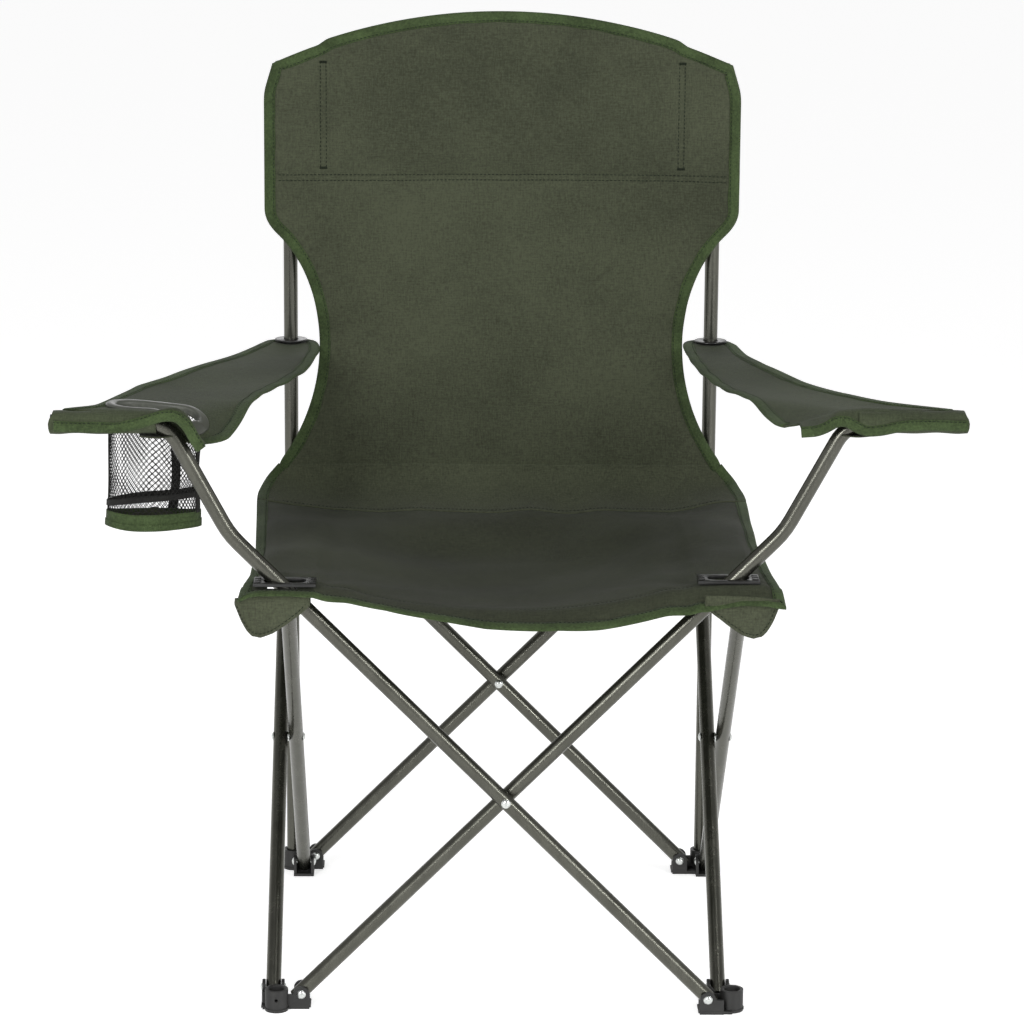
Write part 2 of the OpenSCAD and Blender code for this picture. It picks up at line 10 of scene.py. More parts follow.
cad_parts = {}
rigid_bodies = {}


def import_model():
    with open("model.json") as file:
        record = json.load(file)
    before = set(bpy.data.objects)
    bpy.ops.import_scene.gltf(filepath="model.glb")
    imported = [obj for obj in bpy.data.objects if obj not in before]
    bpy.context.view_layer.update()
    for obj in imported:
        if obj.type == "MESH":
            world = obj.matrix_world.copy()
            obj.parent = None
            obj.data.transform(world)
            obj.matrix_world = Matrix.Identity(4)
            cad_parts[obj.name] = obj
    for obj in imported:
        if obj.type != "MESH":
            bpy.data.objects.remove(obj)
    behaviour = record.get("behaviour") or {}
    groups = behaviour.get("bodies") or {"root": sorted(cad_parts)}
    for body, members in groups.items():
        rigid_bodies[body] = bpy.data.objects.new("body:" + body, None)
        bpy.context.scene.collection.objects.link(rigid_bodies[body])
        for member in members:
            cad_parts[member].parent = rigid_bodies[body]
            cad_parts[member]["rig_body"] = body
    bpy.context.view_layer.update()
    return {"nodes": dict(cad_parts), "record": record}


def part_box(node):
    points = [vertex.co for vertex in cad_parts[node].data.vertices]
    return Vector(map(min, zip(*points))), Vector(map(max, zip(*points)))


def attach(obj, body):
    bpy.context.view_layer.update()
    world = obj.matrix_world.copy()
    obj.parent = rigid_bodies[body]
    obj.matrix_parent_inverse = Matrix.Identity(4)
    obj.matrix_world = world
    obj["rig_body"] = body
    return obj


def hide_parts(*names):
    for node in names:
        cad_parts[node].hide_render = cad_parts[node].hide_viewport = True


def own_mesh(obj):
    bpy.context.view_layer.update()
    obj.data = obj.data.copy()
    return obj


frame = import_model()
SLOT_OF = {s["node"]: s["material_slot"] for s in frame["record"]["subparts"]}

# ---------------------------------------------------------------- sizes, in metres

CLOTH = 0.0018                 # cloth with its coating, as two plies
THIN, THINNER = 0.0014, 0.0012 # single plies: sleeves and pockets, then flaps and tapes
TAPE = 0.0007                  # binding tape
TAPE_W = 0.0105                # width of the binding on each face
YARN = 0.0011                  # pitch of the weave
STITCH = 0.0042                # pitch of a seam

SEAT_LOW, SEAT_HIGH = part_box("seat_front")
REAR_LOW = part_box("seat_rear")[0]
BACK_LOW, BACK_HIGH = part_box("back_panel")
SEAT_HALF = SEAT_HIGH.x
SEAT_Z = SEAT_HIGH.z
SEAT_FRONT = SEAT_LOW.y
SPLIT_Y = REAR_LOW.y
SAG = SEAT_HIGH.z - SEAT_LOW.z - 0.004
FLAT_X = 0.186
ARC_R = (FLAT_X ** 2 + SAG ** 2) / (2 * SAG)
BACK_Y = BACK_LOW.y + 0.0015
BACK_TOP = BACK_HIGH.z
HEAD_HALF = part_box("back_sleeve_right")[1].x
SIDE_X = 0.212                 # the back is cut here, between the panel and the post sleeves
ARCH_HALF, ARCH_RISE = 0.240, 0.051
ARCH_R = (ARCH_HALF ** 2 + ARCH_RISE ** 2) / (2 * ARCH_RISE)
SHOULDER_Z = BACK_TOP - ARCH_RISE
WAIST_Z, WAIST_HALF, WAIST_R = 0.587, 0.193, 0.200
RISER_TOP = 0.461              # where the curved foot of the back cloth meets its upright part
SEAM_Z = 0.771                 # crosswise seam under the head rest
POCKET_X = 0.1885              # seam that closes the post sleeve
POST = (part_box("post_right")[0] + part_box("post_right")[1]) / 2
TUBE_R = (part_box("post_right")[1].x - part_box("post_right")[0].x) / 2


def step(low, high, x):
    t = np.clip((np.asarray(x, float) - low) / (high - low), 0, 1)
    return t * t * (3 - 2 * t)


def hump(x, width):
    """A smooth bump of height 1 at x = 0."""
    return np.exp(-(x / width) ** 2)


def grid_of(*parts):
    """Grids of coordinates as one grid of points."""
    return np.stack(np.broadcast_arrays(*parts), -1)


def ripple(x, seed, waves=5, lowest=1.0, highest=4.0):
    """A smooth repeatable wiggle of x between about -1 and 1."""
    rng = np.random.default_rng(seed)
    out = 0
    for _ in range(waves):
        f, p, a = rng.uniform(lowest, highest), rng.uniform(0, 2 * math.pi), rng.uniform(0.5, 1)
        out = out + a * np.sin(2 * math.pi * f * np.asarray(x, float) + p)
    return out / (0.75 * waves) * 1.4


# ---------------------------------------------------------------- materials

def principled(name, color, rough, metal=0.0, sheen=0.0, coat=0.0, spec=0.5):
    m = bpy.data.materials.new(name)
    m.use_nodes = True
    b = m.node_tree.nodes["Principled BSDF"]
    b.inputs["Base Color"].default_value = (*color, 1)
    b.inputs["Roughness"].default_value = rough
    b.inputs["Metallic"].default_value = metal
    b.inputs["Sheen Weight"].default_value = sheen
    b.inputs["Sheen Roughness"].default_value = 0.5
    b.inputs["Coat Weight"].default_value = coat
    b.inputs["Specular IOR Level"].default_value = spec
    return m, b


class Net:
    """Short calls for building a node tree."""

    def __init__(self, material):
        self.t = material.node_tree

    def add(self, kind, **inputs):
        n = self.t.nodes.new(kind)
        for key, value in inputs.items():
            socket = n.inputs[int(key[1:])] if key[1:].isdigit() else n.inputs[key.replace("_", " ")]
            if isinstance(value, bpy.types.NodeSocket):
                self.t.links.new(value, socket)
            else:
                socket.default_value = value
        return n

    def math(self, op, a, b=0.0):
        n = self.t.nodes.new("ShaderNodeMath")
        n.operation = op
        for socket, value in zip(n.inputs, (a, b)):
            if isinstance(value, bpy.types.NodeSocket):
                self.t.links.new(value, socket)
            else:
                socket.default_value = value
        return n.outputs[0]

    def noise(self, vector, scale, detail=3.0, rough=0.55):
        n = self.add("ShaderNodeTexNoise", Vector=vector, Scale=scale, Detail=detail, Roughness=rough)
        return n.outputs["Fac"]

    def ramp(self, fac, stops):
        n = self.t.nodes.new("ShaderNodeValToRGB")
        self.t.links.new(fac, n.inputs[0])
        while len(n.color_ramp.elements) < len(stops):
            n.color_ramp.elements.new(0.5)
        for e, (at, color) in zip(n.color_ramp.elements, stops):
            e.position = at
            e.color = (*color, 1)
        return n.outputs[0]

    def shades(self, fac, color, *stops):
        """Base colour from lighter and darker tints of one colour."""
        ramp = self.ramp(fac, [(at, tint(color, k)) for at, k in stops])
        self.t.links.new(ramp, self.t.nodes["Principled BSDF"].inputs["Base Color"])

    def spread(self, fac, low, high):
        n = self.add("ShaderNodeMapRange", Value=fac)
        n.inputs["From Min"].default_value = 0.3
        n.inputs["From Max"].default_value = 0.7
        n.inputs["To Min"].default_value = low
        n.inputs["To Max"].default_value = high
        return n.outputs[0]

    def bump(self, height, distance, strength=1.0, normal=None):
        n = self.add("ShaderNodeBump", Height=height, Distance=distance, Strength=strength)
        if normal is not None:
            self.t.links.new(normal, n.inputs["Normal"])
        return n.outputs[0]

    def link(self, a, b):
        self.t.links.new(a, b)

    def place(self):
        return self.t.nodes.new("ShaderNodeTexCoord").outputs["Object"]

    def uv(self):
        return self.t.nodes.new("ShaderNodeUVMap").outputs[0]


def tint(color, k):
    return tuple(min(1.0, c * k) for c in color)


def cloth(name, color, pitch=YARN, mottle=0.34, rough=0.86, height=0.00018):
    """Coated plain weave: over and under yarns, slubs, and cloudy shading from handling."""
    m, b = principled(name, color, rough, spec=0.14)
    b.inputs["Sheen Weight"].default_value = 0.05
    n = Net(m)
    uv, place = n.uv(), n.place()
    axes = n.add("ShaderNodeSeparateXYZ", Vector=uv)
    turn = 2 * math.pi / pitch
    across = n.math("SINE", n.math("MULTIPLY", axes.outputs[0], turn))
    along = n.math("SINE", n.math("MULTIPLY", axes.outputs[1], turn))
    weave = n.math("MULTIPLY", across, along)
    slub = n.noise(n.add("ShaderNodeMapping", Vector=uv, Scale=(90, 700, 1)).outputs[0], 1.0, 2.0)
    slub_up = n.noise(n.add("ShaderNodeMapping", Vector=uv, Scale=(700, 90, 1)).outputs[0], 1.0, 2.0)
    cloud = n.noise(place, 7.0, 4.0)
    fine = n.noise(place, 430.0, 3.0, 0.75)
    level = n.math("ADD", n.math("MULTIPLY", cloud, 0.3), n.math("MULTIPLY", fine, 0.34))
    level = n.math("ADD", level, n.math("MULTIPLY", n.math("ADD", slub, slub_up), 0.18))
    shade = n.ramp(level, [(0.41, tint(color, 1 - mottle)), (0.5, color), (0.59, tint(color, 1 + mottle))])
    yarn = n.math("MULTIPLY_ADD", weave, 0.5)
    yarn.node.inputs[2].default_value = 0.5
    mix = n.t.nodes.new("ShaderNodeMix")
    mix.data_type = "RGBA"
    mix.blend_type = "MULTIPLY"
    n.link(n.spread(yarn, 0.16, 0.0), mix.inputs[0])
    n.link(shade, mix.inputs[6])
    mix.inputs[7].default_value = (0.3, 0.33, 0.26, 1)
    n.link(mix.outputs[2], b.inputs["Base Color"])
    n.link(n.spread(fine, rough - 0.08, rough + 0.06), b.inputs["Roughness"])
    rows = n.math("ADD", n.math("MULTIPLY", weave, 0.5), n.math("ADD", slub, slub_up))
    soft = n.bump(n.noise(place, 30.0, 3.0), 0.0022, 0.45)
    n.link(n.bump(rows, height, 0.8, soft), b.inputs["Normal"])
    return m


def tape_cloth(name, color, rough=0.8):
    """Ribbed edge tape: ribs run across the tape, with a slightly lighter crown."""
    m, b = principled(name, color, rough, spec=0.15)
    b.inputs["Sheen Weight"].default_value = 0.06
    n = Net(m)
    uv, place = n.uv(), n.place()
    axes = n.add("ShaderNodeSeparateXYZ", Vector=uv)
    rib = n.math("SINE", n.math("MULTIPLY", axes.outputs[0], 2 * math.pi / 0.0012))
    fine = n.noise(place, 420.0, 3.0, 0.75)
    cloud = n.noise(place, 30.0, 3.0)
    level = n.math("ADD", n.math("MULTIPLY", cloud, 0.4), n.math("MULTIPLY", fine, 0.6))
    n.shades(level, color, (0.4, 0.66), (0.5, 1), (0.62, 1.4))
    n.link(n.bump(n.math("ADD", rib, fine), 0.0002, 0.8), b.inputs["Normal"])
    return m


def tube_paint(name, color):
    """Satin bronze grey powder coat: fine orange peel, metal flake, faint scuffs."""
    m, b = principled(name, color, 0.26, metal=0.9, coat=0.1)
    b.inputs["Coat Roughness"].default_value = 0.28
    n = Net(m)
    place = n.place()
    flake = n.noise(place, 1500.0, 2.0, 0.8)
    peel = n.noise(place, 380.0, 2.0)
    scuff = n.noise(n.add("ShaderNodeMapping", Vector=place, Scale=(9, 9, 2)).outputs[0], 6.0, 6.0, 0.7)
    level = n.math("ADD", n.math("MULTIPLY", flake, 0.5), n.math("MULTIPLY", scuff, 0.5))
    n.shades(level, color, (0.36, 0.8), (0.5, 1), (0.66, 1.28))
    n.link(n.spread(scuff, 0.2, 0.32), b.inputs["Roughness"])
    n.link(n.bump(peel, 0.00008, 0.5), b.inputs["Normal"])
    return m


def plastic(name, color, rough, grain=0.00006, scale=900.0):
    """Moulded plastic: spark-eroded grain, slight gloss changes, paler rubbed patches."""
    m, b = principled(name, color, rough, spec=0.45)
    n = Net(m)
    place = n.place()
    fine = n.noise(place, scale, 2.0, 0.6)
    rub = n.noise(place, 45.0, 5.0, 0.65)
    n.shades(rub, color, (0.38, 0.85), (0.55, 1), (0.72, 1.7))
    n.link(n.spread(rub, rough - 0.08, rough + 0.1), b.inputs["Roughness"])
    n.link(n.bump(fine, grain, 0.7), b.inputs["Normal"])
    return m


def zinc(name):
    m, b = principled(name, (0.62, 0.64, 0.62), 0.26, metal=1.0)
    n = Net(m)
    place = n.place()
    spangle = n.noise(place, 700.0, 4.0, 0.7)
    n.link(n.ramp(spangle, [(0.3, (0.42, 0.44, 0.43)), (0.6, (0.72, 0.74, 0.72))]), b.inputs["Base Color"])
    n.link(n.spread(spangle, 0.18, 0.36), b.inputs["Roughness"])
    n.link(n.bump(spangle, 0.00005, 0.5), b.inputs["Normal"])
    return m


OLIVE = (0.0475, 0.0535, 0.0325)
MAT = {
    "back_cloth": cloth("back_cloth", OLIVE),
    "arm_cloth": cloth("arm_cloth", (0.046, 0.056, 0.031)),
    # the seat is the olive cloth darkened to 0.74: painted shade of the sagging seat
    "seat_cloth": cloth("seat_cloth", tint(OLIVE, 0.74)),
    # the corner pockets are the olive cloth lightened by 1.12: painted light from the front and the floor
    "lit_pocket_cloth": cloth("lit_pocket_cloth", tint(OLIVE, 1.12)),
    # cloth behind or under other parts is the olive cloth darkened to 0.7: painted shade
    "shaded_under_cloth": cloth("shaded_under_cloth", tint(OLIVE, 0.7)),
    "green_binding": tape_cloth("green_binding", (0.040, 0.061, 0.0225)),
    # the foot of the back is the olive cloth lightened by 1.08: painted light that makes up for the shade on the
    # upturned cloth
    "lit_riser_cloth": cloth("lit_riser_cloth", tint(OLIVE, 1.08)),
    "thread": tape_cloth("thread", (0.012, 0.018, 0.008)),
    "mesh": tape_cloth("mesh", (0.011, 0.011, 0.01)),
    "tube_paint": tube_paint("tube_paint", (0.088, 0.088, 0.073)),
    "moulding": plastic("moulding", (0.0145, 0.0145, 0.0135), 0.5),
    "black_plastic": plastic("black_plastic", (0.0105, 0.0105, 0.01), 0.36, 0.00003),
    "grey_plastic": plastic("grey_plastic", (0.066, 0.07, 0.057), 0.42, 0.00004),
    "zinc": zinc("zinc"),
}


def finish_cad():
    """Every CAD node that stays visible gets its procedural material and smooth shading."""
    for name, o in frame["nodes"].items():
        o.data.materials.clear()
        o.data.materials.append(MAT.get(SLOT_OF[name], MAT["back_cloth"]))
        o.data.polygons.foreach_set("use_smooth", [True] * len(o.data.polygons))
        o.data.set_sharp_from_angle(angle=math.radians(32))


# ---------------------------------------------------------------- mesh tools

def link(name, mesh, material):
    o = bpy.data.objects.new(name, mesh)
    bpy.context.scene.collection.objects.link(o)
    mesh.materials.clear()
    mesh.materials.append(MAT[material])
    return o


def mesh_of(verts, faces, uvs=None, smooth=True):
    """uvs is one pair for each vertex."""
    me = bpy.data.meshes.new("m")
    me.from_pydata([tuple(map(float, v)) for v in verts], [], [tuple(map(int, f)) for f in faces])
    if uvs is not None:
        layer = me.uv_layers.new(name="UVMap")
        index = np.zeros(len(me.loops), np.int32)
        me.loops.foreach_get("vertex_index", index)
        layer.data.foreach_set("uv", np.asarray(uvs, np.float32)[index].ravel())
    me.polygons.foreach_set("use_smooth", [smooth] * len(me.polygons))
    me.update()
    return me


def grid_normals(p):
    du, dv = np.gradient(p, axis=1), np.gradient(p, axis=0)
    n = np.cross(du, dv)
    return n / np.maximum(np.linalg.norm(n, axis=2, keepdims=True), 1e-12)


def shell_between(top, under, uv, keep=None):
    """A closed shell between two grids of points (rows, columns, 3). keep marks the cells that stay."""
    rows, cols = top.shape[:2]
    index = np.arange(rows * cols).reshape(rows, cols)
    a, b, c, d = index[:-1, :-1], index[:-1, 1:], index[1:, 1:], index[1:, :-1]
    cells = np.stack([a, b, c, d], 2).reshape(-1, 4)
    if keep is not None:
        cells = cells[keep.ravel()]
    size = rows * cols
    verts = np.concatenate([top.reshape(-1, 3), under.reshape(-1, 3)])
    faces = [tuple(f) for f in cells] + [tuple(f[::-1] + size) for f in cells]
    edges = {(f[i], f[(i + 1) % 4]): 1 for f in cells for i in range(4)}
    faces += [(v, u, u + size, v + size) for u, v in edges if (v, u) not in edges]
    return tidy(mesh_of(verts, faces, np.concatenate([uv.reshape(-1, 2)] * 2)))


def cloth_mesh(p, uv, keep=None, thick=CLOTH):
    """A thin shell of cloth round the grid of points p."""
    half = grid_normals(p) * thick / 2
    return shell_between(p + half, p - half, uv, keep)


def tidy(me):
    """Drops loose points, and points the faces outwards."""
    bm = bmesh.new()
    bm.from_mesh(me)
    bmesh.ops.delete(bm, geom=[v for v in bm.verts if not v.link_faces], context="VERTS")
    bmesh.ops.recalc_face_normals(bm, faces=bm.faces)
    bm.to_mesh(me)
    bm.free()
    return me


def join(meshes):
    """One mesh of several, each with a UVMap."""
    bm = bmesh.new()
    for me in meshes:
        bm.from_mesh(me)
    out = bpy.data.meshes.new("m")
    bm.to_mesh(out)
    bm.free()
    out.polygons.foreach_set("use_smooth", [True] * len(out.polygons))
    return out


def ring_quads(base, stations, ring):
    """Faces between neighbouring rings of points."""
    at = lambda i, k: base + i * ring + k % ring
    return [(at(i, k), at(i, k + 1), at(i + 1, k + 1), at(i + 1, k))
            for i in range(stations - 1) for k in range(ring)]


def sweep(path, sections, closed_path=False, cap=True):
    """A tube mesh through rings of points: sections is (count, ring, 3), one ring for each path point."""
    count, ring = sections.shape[:2]
    along = np.concatenate([[0], np.cumsum(np.linalg.norm(np.diff(path, axis=0), axis=1))])
    steps = np.linalg.norm(np.diff(sections[0], axis=0, append=sections[0][:1]), axis=1)
    around = np.concatenate([[0], np.cumsum(steps)])[:ring]
    faces = []
    for i in range(count if closed_path else count - 1):
        j = (i + 1) % count
        for k in range(ring):
            m = (k + 1) % ring
            faces.append((i * ring + k, i * ring + m, j * ring + m, j * ring + k))
    if cap and not closed_path:
        faces.append(tuple(range(ring))[::-1])
        faces.append(tuple((count - 1) * ring + k for k in range(ring)))
    uv = grid_of(along[:, None], around[None, :]).reshape(-1, 2)
    return tidy(mesh_of(sections.reshape(-1, 3), faces, uv))


def frames_along(path):
    """Unit tangents of a path of points."""
    t = np.gradient(np.asarray(path, float), axis=0)
    return t / np.maximum(np.linalg.norm(t, axis=1, keepdims=True), 1e-12)


def unit(v):
    return v / np.maximum(np.linalg.norm(v, axis=-1, keepdims=True), 1e-12)


def binding(path, inward, normal, width=TAPE_W, seed=1):
    """Edge tape folded over the edge of a cloth: path is the edge, inward points into the cloth."""
    h, t = CLOTH / 2 + 0.0001, TAPE
    shape = [(width, h + t * 0.6), (width * 0.6, h + t * 1.3), (0.0015, h + t * 1.2), (-0.0012, h * 0.5),
             (-0.0012, -h * 0.5), (0.0015, -h - t * 1.2), (width * 0.6, -h - t * 1.3), (width, -h - t * 0.6),
             (width, -h), (0.001, -h), (0.0002, 0.0), (0.001, h), (width, h)]
    along = np.concatenate([[0], np.cumsum(np.linalg.norm(np.diff(path, axis=0), axis=1))])
    wobble = 1 + 0.05 * ripple(along, seed, 4, 8, 30)
    rings = []
    for q, i, n, w in zip(path, inward, normal, wobble):
        rings.append([q + i * (a * (w if a > 0.004 else 1)) + n * b for a, b in shape])
    return sweep(path, np.array(rings))


def stitches(path, normal, pitch=STITCH, long=0.0028, fat=0.00042, lift=0.0):
    """A row of sewn stitches along a path on the face that normal points out of."""
    path = np.asarray(path, float)
    normal = np.broadcast_to(np.asarray(normal, float), path.shape)
    along = np.concatenate([[0], np.cumsum(np.linalg.norm(np.diff(path, axis=0), axis=1))])
    at = np.arange(pitch / 2, along[-1], pitch)
    pick = lambda s: np.stack([np.interp(s, along, path[:, k]) for k in range(3)], 1)
    norm = unit(np.stack([np.interp(at, along, normal[:, k]) for k in range(3)], 1))
    a, c, b = pick(at - long / 2), pick(at), pick(at + long / 2)
    side = unit(np.cross(norm, b - a))
    verts, faces = [], []
    ring = 6
    turns = [2 * math.pi * k / ring for k in range(ring)]
    stations = [(a, 0.45, -0.3), (a * 0.7 + c * 0.3, 0.95, 0.35), (c, 1.05, 0.6),
                (b * 0.7 + c * 0.3, 0.95, 0.35), (b, 0.45, -0.3)]
    for s in range(len(at)):
        base = len(verts)
        for p, k, up in stations:
            middle = p[s] + norm[s] * (lift + up * fat)
            for w in turns:
                verts.append(middle + k * fat * (math.cos(w) * side[s] + math.sin(w) * norm[s]))
        faces += ring_quads(base, len(stations), ring)
        faces.append(tuple(base + k for k in range(ring))[::-1])
        faces.append(tuple(base + (len(stations) - 1) * ring + k for k in range(ring)))
    uv = [(v[0], v[2]) for v in verts]
    return mesh_of(verts, faces, uv)


def cut(me, planes):
    """Adds clean edges where each plane (point, normal) crosses the mesh."""
    bm = bmesh.new()
    bm.from_mesh(me)
    for at, normal in planes:
        geom = bm.verts[:] + bm.edges[:] + bm.faces[:]
        bmesh.ops.bisect_plane(bm, geom=geom, plane_co=at, plane_no=normal, dist=1e-7)
    bm.to_mesh(me)
    bm.free()
    return me


def vertex_normals(me):
    out = np.zeros(len(me.vertices) * 3, np.float32)
    me.vertices.foreach_get("normal", out)
    return out.reshape(-1, 3)


def part_of(me, wanted):
    """A copy with the faces whose centres wanted() picks, shaded exactly as in the whole mesh."""
    normals = vertex_normals(me)
    bm = bmesh.new()
    bm.from_mesh(me)
    layer = bm.verts.layers.int.new("was")
    for v in bm.verts:
        v[layer] = v.index
    doomed = [f for f in bm.faces if not wanted(f.calc_center_median())]
    bmesh.ops.delete(bm, geom=doomed, context="FACES")
    bmesh.ops.holes_fill(bm, edges=[e for e in bm.edges if e.is_boundary])
    was = [v[layer] for v in bm.verts]
    bm.verts.layers.int.remove(layer)
    out = bpy.data.meshes.new("m")
    bm.to_mesh(out)
    bm.free()
    out.polygons.foreach_set("use_smooth", [True] * len(out.polygons))
    out.normals_split_custom_set_from_vertices([tuple(map(float, normals[i])) for i in was])
    return out


def islands(me, wanted):
    """As part_of, for a mesh of many small closed bits: each stays whole."""
    bm = bmesh.new()
    bm.from_mesh(me)
    bm.verts.ensure_lookup_table()
    seen, doomed = set(), []
    for v in bm.verts:
        if v.index in seen:
            continue
        group, front = {v}, [v]
        while front:
            w = front.pop()
            for e in w.link_edges:
                o = e.other_vert(w)
                if o not in group:
                    group.add(o)
                    front.append(o)
        seen.update(g.index for g in group)
        middle = sum((g.co for g in group), Vector()) / len(group)
        if not wanted(middle):
            doomed.extend(group)
    bmesh.ops.delete(bm, geom=doomed, context="VERTS")
    out = bpy.data.meshes.new("m")
    bm.to_mesh(out)
    bm.free()
    out.polygons.foreach_set("use_smooth", [True] * len(out.polygons))
    return out


def softened(node, width=0.0008, segments=2, angle=35):
    """A moulded CAD node with its edges rounded over."""
    src = frame["nodes"][node]
    bm = bmesh.new()
    bm.from_mesh(src.data)
    bmesh.ops.remove_doubles(bm, verts=bm.verts, dist=1e-6)
    bmesh.ops.dissolve_limit(bm, angle_limit=math.radians(1), verts=bm.verts, edges=bm.edges)
    me = bpy.data.meshes.new(node + "_soft")
    bm.to_mesh(me)
    bm.free()
    o = link(node + "_moulded", me, SLOT_OF[node])
    bevel = o.modifiers.new("edge", "BEVEL")
    bevel.width = width
    bevel.segments = segments
    bevel.limit_method = "ANGLE"
    bevel.angle_limit = math.radians(angle)
    bevel.harden_normals = False
    bake(o)
    o.data.polygons.foreach_set("use_smooth", [True] * len(o.data.polygons))
    o.data.set_sharp_from_angle(angle=math.radians(40))
    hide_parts(node)
    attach(o, src["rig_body"])
    return o


def bake(o):
    deps = bpy.context.evaluated_depsgraph_get()
    me = bpy.data.meshes.new_from_object(o.evaluated_get(deps))
    o.modifiers.clear()
    o.data = me


# ---------------------------------------------------------------- the back

def arch(x):
    """The top edge, which drops a little where the post sleeves begin."""
    x = np.clip(x, -0.26, 0.26)
    return BACK_TOP - ARCH_R + np.sqrt(ARCH_R ** 2 - x ** 2) - 0.0035 * step(0.183, 0.196, np.abs(x))


def seat_line(x):
    """Height of the seat's crosswise section: flat at the corners, an arc between."""
    x = np.abs(np.asarray(x, float))
    inside = SEAT_Z - SAG + ARC_R - np.sqrt(ARC_R ** 2 - np.minimum(x, FLAT_X) ** 2)
    return np.where(x < FLAT_X, inside, SEAT_Z)


def half_width(z):
    side = np.where(z > WAIST_Z, HEAD_HALF, SEAT_HALF)
    dz = np.clip(z - WAIST_Z, -WAIST_R, WAIST_R)
    waist = WAIST_HALF + WAIST_R - np.sqrt(WAIST_R ** 2 - dz ** 2)
    inside = np.abs(z - WAIST_Z) < WAIST_R
    sharp = np.where(inside, np.minimum(side, waist), side)
    return sharp - 0.011 * step(SHOULDER_Z - 0.028, SHOULDER_Z, z) ** 2


def smooth_half_width(z):
    """The outline with its two corners eased over, as cut cloth has them."""
    return sum(half_width(z + d) for d in np.linspace(-0.014, 0.014, 9)) / 9


def back_depth(x, z):
    """Where the face of the back lies along Y: padded head, pulled seams, gathers and drag lines."""
    ax = np.abs(x)
    hw = smooth_half_width(z)
    y = np.full_like(x, BACK_Y)
    y = y + 0.006 * (1 - np.clip(ax / SIDE_X, 0, 1) ** 2) * step(0.43, 0.55, z) * (1 - step(0.70, 0.80, z))
    puff = (1 - np.clip(ax / POCKET_X, 0, 1) ** 6) * step(SEAM_Z + 0.002, SEAM_Z + 0.035, z)
    y = y - 0.0065 * puff * (1 - step(arch(x) - 0.035, arch(x) - 0.004, z))
    for line in (SEAM_Z - 0.003, SEAM_Z + 0.003):
        y = y + 0.0012 * hump(z - line, 0.0035) * (ax < hw - 0.008)
    pucker = 0.0006 * np.exp(-np.abs(z - SEAM_Z) / 0.012) * ripple(x, 21, 5, 18, 45)
    y = y + pucker
    tall = step(0.776, 0.79, z) * (1 - step(0.885, 0.895, z))
    for line in (POCKET_X - 0.002, POCKET_X + 0.004):
        y = y + 0.0020 * hump(ax - line, 0.0035) * tall
    y = y - 0.0016 * hump(ax - POST.x, 0.012) * step(0.69, 0.74, z)
    low = z - seat_line(x)
    y = y + 0.0034 * np.exp(-np.maximum(low - 0.02, 0) / 0.055) * ripple(x, 5, 5, 6, 16)
    y = y + 0.0022 * hump(low - 0.05 - 0.25 * ax, 0.020) * ripple(x + 0.2 * z, 8, 4, 3, 8)
    y = y - 0.0045 * np.exp(-low / 0.018)
    drag = np.exp(-(hw - ax) / 0.055) * hump(z - WAIST_Z, 0.11)
    y = y + 0.0016 * drag * ripple(z + 0.35 * ax, 12, 5, 12, 28)
    broad = step(0.44, 0.5, z) * (1 - 0.6 * step(0.75, 0.8, z))
    y = y + 0.0022 * ripple(0.8 * x + 1.1 * z, 31, 4, 1.0, 3.2) * broad
    y = y + 0.0016 * ripple(1.4 * x - 0.9 * z, 37, 4, 2.5, 6.5)
    head = step(SEAM_Z, SEAM_Z + 0.02, z)
    y = y + 0.0018 * head * np.exp(-np.abs(z - SEAM_Z) / 0.05) * ripple(x, 45, 4, 5, 13)
    y = y + 0.0013 * (1 - head) * np.exp(-(SEAM_Z - z) / 0.07) * ripple(x + 0.15 * z, 47, 4, 4, 11)
    y = y + 0.0007 * ripple(z, 41, 3, 12, 24) * hump(ax - POST.x, 0.02) * step(0.69, 0.75, z)
    return y


def back_grid(rows=150, cols=131):
    t = np.linspace(0, 1, rows)[:, None]
    s = np.linspace(-1, 1, cols)[None, :]
    nominal = SEAT_Z + (SHOULDER_Z - SEAT_Z) * t
    x = s * (smooth_half_width(nominal) - 0.0045 * step(0.468, 0.452, nominal))
    low = seat_line(x) + 0.0006
    z = low + (arch(x) - low) * t
    return np.stack([x, back_depth(x, z), z], 2)


def edge_path(p, side):
    """One edge of a grid of points: its path, the way into the cloth, and the face normal."""
    n = grid_normals(p)
    if side == "left":
        path, inside, normal = p[:, 0], p[:, 3] - p[:, 0], n[:, 0]
    elif side == "right":
        path, inside, normal = p[:, -1], p[:, -4] - p[:, -1], n[:, -1]
    elif side == "top":
        path, inside, normal = p[-1], p[-4] - p[-1], n[-1]
    else:
        path, inside, normal = p[0], p[3] - p[0], n[0]
    along = frames_along(path)
    inside = inside - (inside * along).sum(1, keepdims=True) * along
    return path, unit(inside), normal


def u_path(*edges):
    """Several edges as one, turned so that each goes on from the one before."""
    path, inward, normal = [np.concatenate(parts) for parts in zip(*edges)]
    keep = np.concatenate([[True], np.linalg.norm(np.diff(path, axis=0), axis=1) > 1e-6])
    path, inward, normal = path[keep], inward[keep], normal[keep]
    for _ in range(2):
        inward[1:-1] = unit(inward[:-2] + 2 * inward[1:-1] + inward[2:])
    return path, inward, normal


def flipped(edge):
    return tuple(a[::-1] for a in edge)


def is_wing(side):
    return lambda c: side * c.x > SIDE_X and c.z > 0.65


def is_panel(c):
    return not (is_wing(1)(c) or is_wing(-1)(c))


def narrow(o):
    """Gives the object its own copy of its mesh."""
    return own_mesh(o)


